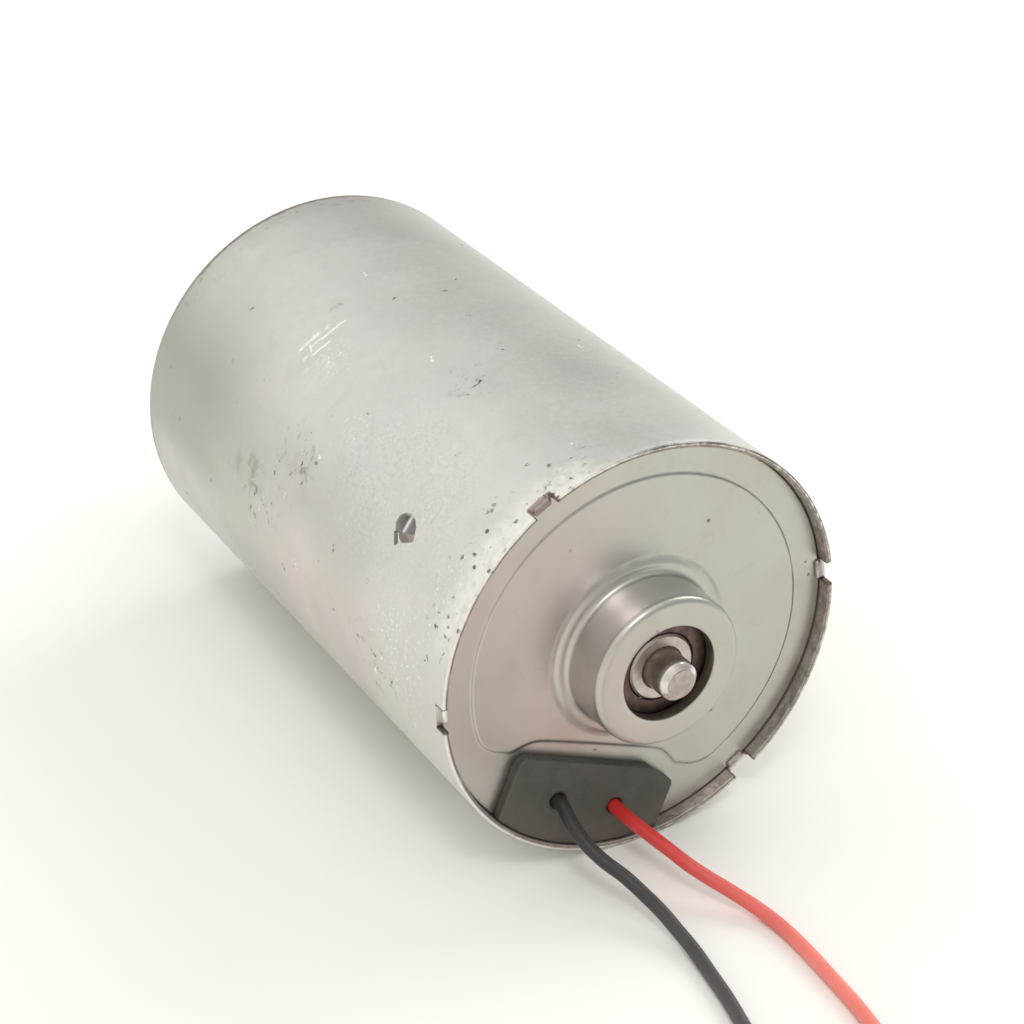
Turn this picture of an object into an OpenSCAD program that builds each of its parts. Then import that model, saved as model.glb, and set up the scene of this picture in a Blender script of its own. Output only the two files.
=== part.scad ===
// Brushed permanent-magnet DC motor in a drawn steel can, lying on its side.
// The shaft runs along Y. The drive end faces +Y and its mounting face is the plane y = 0.
// The end plate with the two flying leads faces -Y. +Z is up. All sizes are in millimetres.

/* [Can] */
// Outside diameter of the can
can_d = 63; // [62:0.5:64]
// Length of the can, mounting face to rim
can_len = 100; // [100:0.5:102]
// Wall thickness of the can
can_wall = 2; // [1.8:0.1:2.2]
// Thickness of the lip round the end plate
lip_wall = 0.8; // [0.6:0.1:1]
// How far the end plate lies below the rim
plate_depth = 2.2; // [2:0.1:2.4]
// Angles of the four crimps, which are struck by hand and not quite evenly spread
crimp_angles = [6.5, 120.5, 182, 305];
// Width of a crimp
crimp_w = 3.6; // [3:0.1:4.4]

/* [Drive end] */
// Pitch circle of the mounting holes
hole_circle = 48; // [44:1:50]
// Tapping hole for the M5 mounting screws
hole_d = 4.2; // [4:0.1:4.4]
// Outside diameter of the front bearing boss
front_boss_d = 26; // [25.5:0.5:28]
// Height of the front bearing boss
front_boss_h = 6.5; // [6.3:0.1:7]
// Reach of the output shaft past the mounting face
output_len = 31.5; // [26:0.5:36]

/* [Lead end] */
// Sheet thickness of the end plate
plate_t = 1.6; // [1.4:0.1:1.6]
// Diameter of the raised panel
panel_d = 52.2; // [50:0.2:54]
// Height of the raised panel
panel_h = 0.6; // [0.4:0.1:0.8]
// Outside diameter of the rear bearing boss
rear_boss_d = 23; // [22.5:0.5:24]
// How far the rear boss stands past the rim
rear_boss_h = 6; // [5.8:0.1:6.2]
// Hole in the face of the rear boss
rear_boss_hole_d = 14.4; // [12:0.2:15]
// How far the rear stub stands past the rim
stub_h = 9; // [7:0.5:12]
// Direction of the lead grommet from the shaft
lead_angle = 248; // [246:1:250]

/* [Leads] */
// Outside diameter of the lead insulation
lead_d = 2; // [1.8:0.1:2]
// Diameter of the stripped and tinned end
tip_d = 1.2; // [1:0.1:1.2]
// Length of the stripped and tinned end
tip_len = 7; // [5:1:8]

/* [Armature] */
// Diameter of the lamination stack
core_d = 44.8; // [44:0.1:45]
// Length of the lamination stack
core_len = 48; // [44:1:50]
// Number of slots
slot_count = 12; // [10:1:14]
// Diameter of the commutator
commutator_d = 22; // [20:0.5:23]
// Number of commutator bars
bar_count = 24; // [20:2:28]

/* [Magnets] */
// Thickness of a magnet
magnet_t = 6.4; // [6:0.1:6.5]
// Length of a magnet
magnet_len = 66; // [60:1:67]
// Angle that a magnet spans
magnet_span = 125; // [120:1:128]

/* [Hidden] */
$fn = 96;
e = 0.01;

// Can
can_r = can_d / 2;
inner_r = can_r - can_wall;
lip_r = can_r - lip_wall;
rim_y = -can_len;
plate_y = rim_y + plate_depth;
plate_back_y = plate_y + plate_t;
panel_y = plate_y - panel_h;
panel_back_y = plate_back_y - panel_h;
corner_r = 0.8;
window_r = 2.2;
window_y = -80;
window_angles = [33.5, 146.5, 213.5, 326.5];
magnet_stop_y = -76.5;
stop_t = 1.6;
hole_collar_d = 7;
hole_depth = 5;

// Bearings: [bore, outside diameter, width, ball radius, ball circle radius, balls]
front_bearing = [8, 22, 7, 1.98, 7.5, 7];
rear_bearing = [6, 19, 6, 1.6, 6.3, 7];
boss_lip_t = 1.7;
wave_h = 0.8;
front_seat_y = front_boss_h - boss_lip_t;
front_bearing_y = front_seat_y - wave_h - front_bearing[2];
front_lip_r = 7;
rear_boss_y = rim_y - rear_boss_h;
rear_bearing_y = rear_boss_y + 1.8;
rear_shoulder_y = rear_bearing_y + rear_bearing[2];

// Shaft and armature
output_d = front_bearing[0];
stub_d = rear_bearing[0];
journal_d = 9;
core_bore_d = 10;
stub_y = rim_y - stub_h;
core_y = -64;
insulator_t = 1;
core_seat_y = -72;
end_turn_len = 7;
clip_groove_r = 3.6;
clip_groove_y = 6.6;
clip_groove_end_y = 7.5;
bars_y = -89.5;
bars_end_y = -75.5;
riser_end_y = -73.5;
riser_r = 12.6;
bar_gap = 0.9;

// Brush gear
card_y = -88;
card_t = 2;
card_r = 29.2;
card_hole_r = 13;
tube_x = 12.4;
tube_end_x = 28.1;
tube_w = 9.2;
tube_h = 7.4;
tube_wall = 0.65;
brush_w = 7.8;
brush_h = 6;
brush_end_x = 21.5;
brush_gap = 0.05;
brush_y = card_y + card_t + tube_w / 2;
cap_t = 0.6;
choke_x = 19.5;
choke_y = card_y - 3.2;

// Grommet outline, from the shaft outwards
grommet_hw = 14;
grommet_top = 17.4;
grommet_chamfer_x = 4;
grommet_chamfer_r = 2.2;
grommet_arc_r = 30.3;
grommet_face_y = rim_y + 0.5;
neck_inset = 1.6;
neck_arc_r = 28.6;
inner_flange_t = 1.5;
inner_arc_r = 29.2;
black_exit = [-13.5, -20.2];
red_exit = [-4.2, -24.4];

// Free leads: the centreline of each, from the grommet to the coil
black_route = [
    [-13.5, -99.5, -20.2], [-13.5, -100.9, -20.2], [-13.7, -103.7, -21.4],
    [-13.3, -107, -23], [-12.1, -109.9, -24.5], [-10.5, -112.4, -25.9],
    [-9.3, -115.1, -27.3], [-8.4, -118.6, -28.5], [-8, -122, -29.5],
    [-7.9, -126, -30.2], [-8.5, -131, -30.5], [-9.3, -136, -30.5], [-10.4, -141, -30.5],
    [-11.8, -147.5, -30.5], [-13.2, -154, -30.5], [-14.4, -161, -30.5],
    [-15.4, -168, -30.4], [-16, -176, -30.1], [-16.2, -184, -29.9]];
red_route = [
    [-4.2, -99.5, -24.4], [-4.2, -100.9, -24.4], [-4, -104, -24.4],
    [-3.1, -107.3, -25], [-2, -110.7, -25.8],
    [-0.8, -113.7, -26.8], [0.7, -116.3, -27.8], [2.3, -119, -28.7], [4, -122.2, -29.7],
    [5, -125.1, -30.3], [5.4, -128.4, -30.5], [5.4, -132.2, -30.5], [5.2, -136, -30.5],
    [4.9, -140.2, -30.5], [4.6, -144.2, -30.5], [3.9, -149, -30.3], [2.7, -153.5, -29.8],
    [0.6, -157.5, -29.2], [-2.2, -161, -28.5], [-5.4, -164.5, -27.9], [-9, -169, -27.9],
    [-12.2, -172.8, -27.9]];
// Coil: the leads lie in two layers on the tie
coil_x = 2;
coil_y = -184;
coil_out_r = 19.4;
coil_in_r = 13.2;
floor_z = -can_r;
tie_t = 0.6;
black_layer_z = floor_z + tie_t;
red_layer_z = black_layer_z + lead_d;
tail_r = 9;
black_tail_angle = 331;
red_tail_angle = 318;
tail_start_r = 14.6;
tie_angle = 250;
tie_w = 3;

// ---------- shared shapes ----------

// A full turned solid about the shaft axis; each profile point is [radius, y].
module turned(profile) {
    rotate([-90, 0, 0]) rotate_extrude() polygon(profile);
}

// The part of a turned solid that spans half degrees to each side of angle phi.
module turned_sector(profile, phi, half) {
    rotate([-90, 0, 0]) rotate([0, 0, -(phi + half)])
        rotate_extrude(angle = 2 * half) polygon(profile);
}

// A ring between two radii and two places along the shaft.
module ring(r_in, r_out, y0, y1) {
    turned([[r_in, y0], [r_out, y0], [r_out, y1], [r_in, y1]]);
}

// A round bar along the shaft direction through the point [x, z].
module bar_along_y(at, r, y0, y1) {
    translate([at[0], y1, at[1]]) rotate([90, 0, 0]) cylinder(r = r, h = y1 - y0);
}

// An outline drawn in X and Z, made solid between two places along the shaft.
module slab(y0, y1) {
    translate([0, y1, 0]) rotate([90, 0, 0]) linear_extrude(y1 - y0) children();
}

// Turns children built on +X to the angle phi about the shaft, anticlockwise from the lead end.
module at_angle(phi) {
    rotate([0, -phi, 0]) children();
}

// Turns children built straight down to the direction of the grommet.
module at_leads() {
    rotate([0, 270 - lead_angle, 0]) children();
}

function arc(cx, cy, r, from, to, steps) =
    [for (i = [0:steps]) let (a = from + (to - from) * i / steps) [cx + r * cos(a), cy + r * sin(a)]];

// A tube swept along a route: rings square to the route, one at each of its points.
function unit(v) = v / norm(v);
function heading(p, i) = unit(p[min(i + 1, len(p) - 1)] - p[max(i - 1, 0)]);
function ring_points(p, i, r, sides, up) =
    let (t = heading(p, i), s = unit(cross(t, up)), u = cross(s, t))
    [for (k = [0:sides - 1]) let (a = 360 * (k + 0.5) / sides) p[i] + r * (cos(a) * s + sin(a) * u)];

// up is any direction that the route never runs along.
module swept(p, r, sides = 8, up = [0, 0, 1]) {
    n = len(p);
    points = [for (i = [0:n - 1]) each ring_points(p, i, r, sides, up)];
    walls = [for (i = [0:n - 2], k = [0:sides - 1]) let (a = i * sides, m = (k + 1) % sides)
        [a + k, a + m, a + sides + m, a + sides + k]];
    start = [[for (k = [0:sides - 1]) sides - 1 - k]];
    end = [[for (k = [0:sides - 1]) (n - 1) * sides + k]];
    polyhedron(points, concat(walls, start, end), convexity = 4);
}

// ---------- housing ----------

module can_body() {
    turned(concat(
        [[can_r, rim_y]],
        arc(can_r - corner_r, -corner_r, corner_r, 0, 90, 6),
        [[front_boss_d / 2 + 0.6, 0], [front_boss_d / 2, 0.6]],
        arc(front_boss_d / 2 - 0.5, front_boss_h - 0.5, 0.5, 0, 90, 4),
        [[front_lip_r, front_boss_h], [front_lip_r, front_seat_y],
         [front_bearing[1] / 2, front_seat_y], [front_bearing[1] / 2, -can_wall],
         [inner_r, -can_wall], [inner_r, plate_back_y], [lip_r, plate_back_y], [lip_r, rim_y]]));
}

module crimp_tab(phi) {
    turned_sector([[lip_r - 0.9, plate_y - 0.8], [can_r - 0.4, plate_y - 0.8],
                   [can_r - 0.4, plate_y + 0.2], [lip_r + e, plate_y + 0.2],
                   [lip_r + e, plate_y], [lip_r - 0.9, plate_y]], phi, 3);
}

module can() {
    color([0.70, 0.70, 0.67]) {
        difference() {
            union() {
                can_body();
                for (a = [45:90:315]) at_angle(a)
                    bar_along_y([hole_circle / 2, 0], hole_collar_d / 2, -hole_depth, -can_wall + e);
            }
            for (a = [45:90:315]) at_angle(a)
                bar_along_y([hole_circle / 2, 0], hole_d / 2, -hole_depth - 1, 1);
            for (a = crimp_angles) at_angle(a)
                translate([inner_r - 1, rim_y - 1, -crimp_w / 2]) cube([4, 3, crimp_w]);
            for (a = window_angles) at_angle(a)
                translate([inner_r - 1, window_y, 0]) rotate([0, 90, 0])
                    cylinder(r = window_r, h = can_wall + 2);
        }
        for (a = crimp_angles) crimp_tab(a);
        for (a = window_angles) at_angle(a)
            translate([inner_r - 2.2, magnet_stop_y - stop_t, -1.5]) cube([2.9, stop_t, 3]);
    }
}

// Outline of the hollow that the grommet lies in.
module recess_outline() {
    intersection() {
        polygon([[-11, -15], [11, -15], [15, -17.6], [22, -17.6], [22, -34], [-22, -34],
                 [-22, -17.6], [-15, -17.6]]);
        circle(r = panel_d / 2);
    }
}

module grommet_outline(inset, arc_r) {
    w = grommet_hw - inset;
    top = -grommet_top - inset;
    intersection() {
        polygon([[-w + grommet_chamfer_x, top], [w - grommet_chamfer_x, top],
                 [w, top - grommet_chamfer_r], [w, -34], [-w, -34], [-w, top - grommet_chamfer_r]]);
        circle(r = arc_r);
    }
}

module rear_end_plate() {
    panel_r = panel_d / 2;
    boss_r = rear_boss_d / 2;
    seat_r = rear_bearing[1] / 2;
    color([0.74, 0.72, 0.68]) difference() {
        union() {
            difference() {
                turned(concat(
                    [[lip_r - 0.1, plate_back_y], [lip_r - 0.1, plate_y], [panel_r + 0.4, plate_y],
                     [panel_r, panel_y], [boss_r + 1.6, panel_y], [boss_r + 1.3, panel_y - 0.6],
                     [boss_r, panel_y - 0.6]],
                    arc(boss_r - 0.4, rear_boss_y + 0.4, 0.4, 0, -90, 4),
                    [[rear_boss_hole_d / 2, rear_boss_y], [rear_boss_hole_d / 2, rear_bearing_y],
                     [seat_r, rear_bearing_y], [seat_r, panel_back_y],
                     [panel_r - 0.4, panel_back_y], [panel_r, plate_back_y]]));
                at_leads() slab(panel_y - 1, plate_y) recess_outline();
            }
            at_leads() slab(plate_y, plate_back_y) recess_outline();
        }
        at_leads() slab(plate_y - 1, plate_back_y + 1) grommet_outline(neck_inset, neck_arc_r);
    }
}

module lead_grommet() {
    color([0.27, 0.26, 0.24]) difference() {
        union() {
            at_leads() slab(grommet_face_y, plate_y) grommet_outline(0, grommet_arc_r);
            at_leads() slab(plate_y, plate_back_y) grommet_outline(neck_inset, neck_arc_r);
            at_leads() slab(plate_back_y, plate_back_y + inner_flange_t)
                grommet_outline(0.2, inner_arc_r);
        }
        for (at = [black_exit, red_exit])
            bar_along_y(at, lead_d / 2, grommet_face_y - 1, plate_back_y + 3);
    }
}

module magnet(phi) {
    color([0.24, 0.24, 0.25])
        turned_sector([[inner_r - magnet_t, magnet_stop_y], [inner_r, magnet_stop_y],
                       [inner_r, magnet_stop_y + magnet_len],
                       [inner_r - magnet_t, magnet_stop_y + magnet_len]], phi, magnet_span / 2);
}
module upper_magnet() { magnet(90); }
module lower_magnet() { magnet(270); }

module magnet_clips() {
    half = 90 - magnet_span / 2;
    y0 = magnet_stop_y + 4;
    y1 = magnet_stop_y + magnet_len - 4;
    leg = 1.6;
    color([0.62, 0.63, 0.65]) for (a = [0, 180]) {
        turned_sector([[inner_r - 0.8, y0], [inner_r, y0], [inner_r, y1], [inner_r - 0.8, y1]],
                      a, half - 0.1);
        for (s = [-1, 1])
            turned_sector([[inner_r - 5.5, y0 + 0.5], [inner_r - 0.4, y0 + 0.5],
                           [inner_r - 0.4, y1 - 0.5], [inner_r - 5.5, y1 - 0.5]],
                          a + s * (half - 0.3 - leg / 2), leg / 2);
    }
}

// ---------- bearings ----------

function mid_y(b, y) = y + b[2] / 2;

module bearing_groove(b, y) {
    rotate([-90, 0, 0]) rotate_extrude()
        translate([b[4], mid_y(b, y)]) circle(r = b[3] + 0.05);
}

module bearing_outer_ring(b, y) {
    wall = (b[1] / 2 - b[4]) * 0.6;
    color([0.72, 0.72, 0.73]) difference() {
        ring(b[1] / 2 - wall, b[1] / 2, y, y + b[2]);
        bearing_groove(b, y);
    }
}

module bearing_inner_ring(b, y) {
    wall = (b[4] - b[0] / 2) * 0.6;
    color([0.76, 0.75, 0.74]) difference() {
        ring(b[0] / 2, b[0] / 2 + wall, y, y + b[2]);
        bearing_groove(b, y);
    }
}

module bearing_shields(b, y) {
    r_in = b[0] / 2 + (b[4] - b[0] / 2) * 0.6 + 0.2;
    r_out = b[1] / 2 - (b[1] / 2 - b[4]) * 0.6;
    color([0.30, 0.22, 0.24]) for (s = [y + 0.2, y + b[2] - 0.45]) ring(r_in, r_out, s, s + 0.25);
}

module bearing_balls(b, y) {
    color([0.8, 0.8, 0.82]) for (i = [0:b[5] - 1]) at_angle(90 + i * 360 / b[5])
        translate([b[4], mid_y(b, y), 0]) sphere(r = b[3], $fn = 24);
}

module bearing_cage(b, y) {
    m = mid_y(b, y);
    color([0.66, 0.58, 0.40]) difference() {
        ring(b[4] - 0.6, b[4] + 0.6, m - b[3] - 0.4, m + b[3] + 0.4);
        for (i = [0:b[5] - 1]) at_angle(90 + i * 360 / b[5])
            translate([b[4] - 2, m, 0]) rotate([0, 90, 0]) cylinder(r = b[3] + 0.08, h = 4, $fn = 24);
    }
}

module front_bearing_outer_ring() { bearing_outer_ring(front_bearing, front_bearing_y); }
module front_bearing_inner_ring() { bearing_inner_ring(front_bearing, front_bearing_y); }
module front_bearing_shields() { bearing_shields(front_bearing, front_bearing_y); }
module front_bearing_balls() { bearing_balls(front_bearing, front_bearing_y); }
module front_bearing_cage() { bearing_cage(front_bearing, front_bearing_y); }
module rear_bearing_outer_ring() { bearing_outer_ring(rear_bearing, rear_bearing_y); }
module rear_bearing_inner_ring() { bearing_inner_ring(rear_bearing, rear_bearing_y); }
module rear_bearing_shields() { bearing_shields(rear_bearing, rear_bearing_y); }
module rear_bearing_balls() { bearing_balls(rear_bearing, rear_bearing_y); }
module rear_bearing_cage() { bearing_cage(rear_bearing, rear_bearing_y); }

// A thin ring whose faces rise and fall three times round.
module wave_washer() {
    steps = 36;
    t = 0.3;
    rise = (wave_h - t - 0.04) / 2;
    y0 = front_seat_y - wave_h / 2;
    corner = [[9.3, -t / 2], [10.8, -t / 2], [10.8, t / 2], [9.3, t / 2]];
    points = [for (i = [0:steps - 1], c = corner) let (a = 360 * i / steps)
        [c[0] * cos(a), y0 + c[1] + rise * sin(3 * a), c[0] * sin(a)]];
    faces = [for (i = [0:steps - 1], k = [0:3]) let (j = (i + 1) % steps, m = (k + 1) % 4)
        [4 * i + k, 4 * i + m, 4 * j + m, 4 * j + k]];
    color([0.6, 0.62, 0.66]) polyhedron(points, faces, convexity = 6);
}

// ---------- rotor ----------

module shaft() {
    stub_r = stub_d / 2;
    journal_r = journal_d / 2;
    seat_r = core_bore_d / 2;
    out_r = output_d / 2;
    color([0.72, 0.70, 0.67])
        turned([[0, stub_y], [stub_r - 0.75, stub_y], [stub_r, stub_y + 0.75],
            [stub_r, rear_shoulder_y], [journal_r, rear_shoulder_y], [journal_r, core_seat_y],
            [seat_r, core_seat_y], [seat_r, front_bearing_y], [out_r, front_bearing_y],
            [out_r, clip_groove_y], [clip_groove_r, clip_groove_y],
            [clip_groove_r, clip_groove_end_y], [out_r, clip_groove_end_y],
            [out_r, output_len - 0.5], [out_r - 0.5, output_len], [0, output_len]]);
}

// Outline of one lamination.
module lamination() {
    difference() {
        circle(d = core_d);
        circle(d = core_bore_d);
        for (i = [0:slot_count - 1]) rotate(i * 360 / slot_count) {
            translate([16.5, 0]) circle(r = 3.6, $fn = 36);
            translate([16.5, -1.1]) square([8, 2.2]);
        }
    }
}

module armature_core() {
    color([0.45, 0.46, 0.48]) slab(core_y, core_y + core_len) lamination();
}

module armature_insulators() {
    color([0.80, 0.30, 0.16]) for (y = [core_y - insulator_t, core_y + core_len])
        slab(y, y + insulator_t) lamination();
}

module armature_windings() {
    rear = core_y - insulator_t;
    front = core_y + core_len + insulator_t;
    color([0.72, 0.38, 0.18]) {
        for (i = [0:slot_count - 1]) at_angle(i * 360 / slot_count)
            bar_along_y([16.5, 0], 3.3, rear - 0.5, front + 0.5);
        turned([[8, rear], [20.6, rear], [20.6, rear - 4.5], [18.5, rear - end_turn_len],
                [12.5, riser_end_y + 0.2], [9, riser_end_y + 0.2], [8, rear - end_turn_len + 1]]);
        turned([[8, front], [20.6, front], [20.6, front + 3.5], [18, front + 6], [10, front + 6],
                [8, front + 4]]);
    }
}

module commutator_hub() {
    color([0.22, 0.14, 0.10])
        ring(journal_d / 2, commutator_d / 2 - 2, bars_y - 1, riser_end_y + 0.1);
}

module commutator_bars() {
    r = commutator_d / 2;
    half = 180 / bar_count - bar_gap / 2;
    color([0.78, 0.45, 0.24]) for (i = [0:bar_count - 1])
        turned_sector([[r - 2, bars_y], [r, bars_y], [r, bars_end_y], [riser_r, bars_end_y],
                       [riser_r, riser_end_y], [r - 2, riser_end_y]], i * 360 / bar_count, half);
}

module rear_spacer() {
    color([0.70, 0.70, 0.70]) ring(journal_d / 2, 5.6, rear_shoulder_y, bars_y - 1);
}

module front_spacer() {
    color([0.70, 0.70, 0.70])
        ring(output_d / 2, 5.6, front_bearing_y + front_bearing[2], clip_groove_y);
}

// An open ring in the groove of the output shaft.
module retaining_ring() {
    y0 = clip_groove_y + 0.05;
    y1 = clip_groove_end_y - 0.25;
    color([0.35, 0.35, 0.36]) turned_sector(
        [[clip_groove_r, y0], [6.4, y0], [6.4, y1], [clip_groove_r, y1]], 90, 150);
}

// ---------- brush gear ----------

module brush_card() {
    post_r = 2.5;
    rim = [[card_r - 1.4, card_y + 0.5], [card_r - 0.2, card_y + 0.5],
           [card_r - 0.2, magnet_stop_y - 0.6], [card_r - 1.4, magnet_stop_y - 0.6]];
    color([0.20, 0.16, 0.16]) difference() {
        union() {
            ring(card_hole_r, card_r, card_y, card_y + card_t);
            for (a = [90, 270]) turned_sector(rim, a, 44);
            for (a = [30, 150, 312]) at_angle(a)
                bar_along_y([22, 0], post_r, panel_back_y, card_y + e);
        }
        for (s = [-1, 1]) bar_along_y([s * 25.5, 8.5], 1.6, card_y - 1, card_y + card_t + 1);
    }
}

module brush_tube() {
    color([0.80, 0.66, 0.32]) difference() {
        translate([tube_x, brush_y - tube_w / 2, -tube_h / 2])
            cube([tube_end_x - tube_x, tube_w, tube_h]);
        translate([tube_x - 1, brush_y - tube_w / 2 + tube_wall, -tube_h / 2 + tube_wall])
            cube([tube_end_x - tube_x + 2, tube_w - 2 * tube_wall, tube_h - 2 * tube_wall]);
    }
}

module brush() {
    color([0.16, 0.16, 0.17]) difference() {
        translate([commutator_d / 2 - 2, brush_y - brush_w / 2, -brush_h / 2])
            cube([brush_end_x - commutator_d / 2 + 2, brush_w, brush_h]);
        bar_along_y([0, 0], commutator_d / 2 + brush_gap, -95, -70);
    }
}

module brush_spring() {
    turns = 6;
    per_turn = 14;
    x0 = brush_end_x + 0.35;
    travel = tube_end_x - brush_end_x - 0.7;
    route = [for (i = [0:turns * per_turn]) let (a = 360 * i / per_turn)
        [x0 + travel * i / (turns * per_turn), brush_y + 2.2 * cos(a), 2.2 * sin(a)]];
    color([0.7, 0.7, 0.72]) swept(route, 0.3, 6, [1, 0, 0]);
}

module brush_cap() {
    color([0.82, 0.68, 0.34])
        translate([tube_end_x, brush_y - tube_w / 2, -tube_h / 2]) cube([cap_t, tube_w, tube_h]);
}

module pigtail() {
    route = [[27.6, brush_y, 4.4], [27.3, brush_y - 1.2, 6.6], [26.2, -84.4, 8.2],
             [25.5, -86.5, 8.5], [25.3, -88.5, 8.5], [24, -90.3, 7.8], [22, -91.1, 6.6],
             [choke_x + 0.6, choke_y, 5.2]];
    color([0.70, 0.42, 0.24]) swept(route, 0.6, 6);
}

module left_brush_tube() { mirror([1, 0, 0]) brush_tube(); }
module right_brush_tube() { brush_tube(); }
module left_brush() { mirror([1, 0, 0]) brush(); }
module right_brush() { brush(); }
module left_brush_spring() { mirror([1, 0, 0]) brush_spring(); }
module right_brush_spring() { brush_spring(); }
module left_brush_cap() { mirror([1, 0, 0]) brush_cap(); }
module right_brush_cap() { brush_cap(); }
module left_pigtail() { mirror([1, 0, 0]) pigtail(); }
module right_pigtail() { pigtail(); }

module choke_cores() {
    color([0.22, 0.22, 0.22]) for (s = [-1, 1])
        translate([s * choke_x, choke_y, -10]) cylinder(r = 1.5, h = 14);
}

module choke_coils() {
    color([0.76, 0.42, 0.20]) for (s = [-1, 1])
        translate([s * choke_x, choke_y, -8]) difference() {
            cylinder(r = 2.6, h = 10);
            translate([0, 0, -1]) cylinder(r = 1.5, h = 12);
        }
}

// The legs that join the chokes to the lead terminals.
module choke_wires() {
    left_route = [[-choke_x + 2, choke_y, -8.4], [-16.6, choke_y, -11], [-15.8, -90.4, -14],
                  [-15.6, -89.4, -17.4], [-15.6, -89.2, -18.6]];
    right_route = [[choke_x - 2, choke_y, -8.4], [16, choke_y, -11], [9, -90.6, -15],
                   [3, -89.8, -20], [-0.6, -89.2, -23.2], [-2, -89.2, -24.2]];
    color([0.76, 0.42, 0.20]) for (route = [left_route, right_route])
        swept(route, 0.4, 6, [0, 1, 0]);
}

module suppression_capacitor() {
    color([0.76, 0.52, 0.20]) {
        bar_along_y([0, 19], 4.5, choke_y - 1.3, choke_y + 1.3);
        for (s = [-1, 1]) translate([s * 3, choke_y, 16.5]) rotate([0, s * 90, 0])
            cylinder(r = 0.35, h = 14, $fn = 16);
    }
}

module lead_terminals() {
    color([0.82, 0.68, 0.34]) for (at = [black_exit, red_exit])
        translate([at[0] - 2.8, card_y - 0.8, at[1] - 2.5]) cube([5.6, 0.8, 5]);
}

// ---------- leads ----------

module lead_inner(at) {
    bar_along_y(at, lead_d / 2, grommet_face_y, card_y - 0.8);
}
module black_lead_inner() { color([0.14, 0.14, 0.14]) lead_inner(black_exit); }
module red_lead_inner() { color([0.85, 0.12, 0.12]) lead_inner(red_exit); }

module black_lead() { color([0.14, 0.14, 0.14]) swept(black_route, lead_d / 2); }
module red_lead() { color([0.85, 0.12, 0.12]) swept(red_route, lead_d / 2); }

// One layer of the coil, with the lead's tail curling in towards the middle.
module lead_coil(z, tail_angle) {
    translate([coil_x, coil_y, z]) {
        rotate_extrude() translate([coil_in_r, 0]) square([coil_out_r - coil_in_r, lead_d]);
        rotate(tail_angle) translate([tail_start_r - tail_r, 0, lead_d / 2])
            rotate_extrude(angle = 90) translate([tail_r, 0]) circle(d = lead_d - 0.2, $fn = 24);
    }
}
module black_lead_coil() { color([0.14, 0.14, 0.14]) lead_coil(black_layer_z, black_tail_angle); }
module red_lead_coil() { color([0.85, 0.12, 0.12]) lead_coil(red_layer_z, red_tail_angle); }

module lead_tip(z, tail_angle) {
    color([0.80, 0.80, 0.82]) translate([coil_x, coil_y, z + lead_d / 2]) rotate(tail_angle)
        translate([tail_start_r - tail_r, tail_r, 0]) rotate([0, -90, 0])
            cylinder(d = tip_d, h = tip_len, $fn = 24);
}
module black_lead_tip() { lead_tip(black_layer_z, black_tail_angle); }
module red_lead_tip() { lead_tip(red_layer_z, red_tail_angle); }

module lead_tie() {
    clear = 0.2;
    long = coil_out_r - coil_in_r + 2 * clear + 2 * tie_t;
    tall = 2 * lead_d + clear + 2 * tie_t;
    color([0.92, 0.92, 0.90]) translate([coil_x, coil_y, floor_z]) rotate(tie_angle)
        translate([coil_in_r - clear - tie_t, -tie_w / 2, 0]) {
            difference() {
                cube([long, tie_w, tall]);
                translate([tie_t, -1, tie_t]) cube([long - 2 * tie_t, tie_w + 2, tall - 2 * tie_t]);
            }
            translate([long - e, -0.8, 1.2]) cube([3, tie_w + 1.6, 3.6]);
        }
}

can();
rear_end_plate();
lead_grommet();
upper_magnet();
lower_magnet();
magnet_clips();
front_bearing_outer_ring();
front_bearing_shields();
front_bearing_balls();
front_bearing_cage();
front_bearing_inner_ring();
wave_washer();
rear_bearing_outer_ring();
rear_bearing_shields();
rear_bearing_balls();
rear_bearing_cage();
rear_bearing_inner_ring();
shaft();
armature_core();
armature_insulators();
armature_windings();
commutator_hub();
commutator_bars();
rear_spacer();
front_spacer();
retaining_ring();
brush_card();
left_brush_tube();
right_brush_tube();
left_brush();
right_brush();
left_brush_spring();
right_brush_spring();
left_brush_cap();
right_brush_cap();
left_pigtail();
right_pigtail();
choke_cores();
choke_coils();
choke_wires();
suppression_capacitor();
lead_terminals();
black_lead_inner();
red_lead_inner();
black_lead();
red_lead();
black_lead_coil();
red_lead_coil();
black_lead_tip();
red_lead_tip();
lead_tie();
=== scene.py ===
# Brushed DC motor in a drawn steel can: the looks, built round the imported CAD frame.
# Lengths in this script are in millimetres unless a name or comment says otherwise.
import math

import bmesh
import bpy
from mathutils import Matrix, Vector, noise


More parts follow.
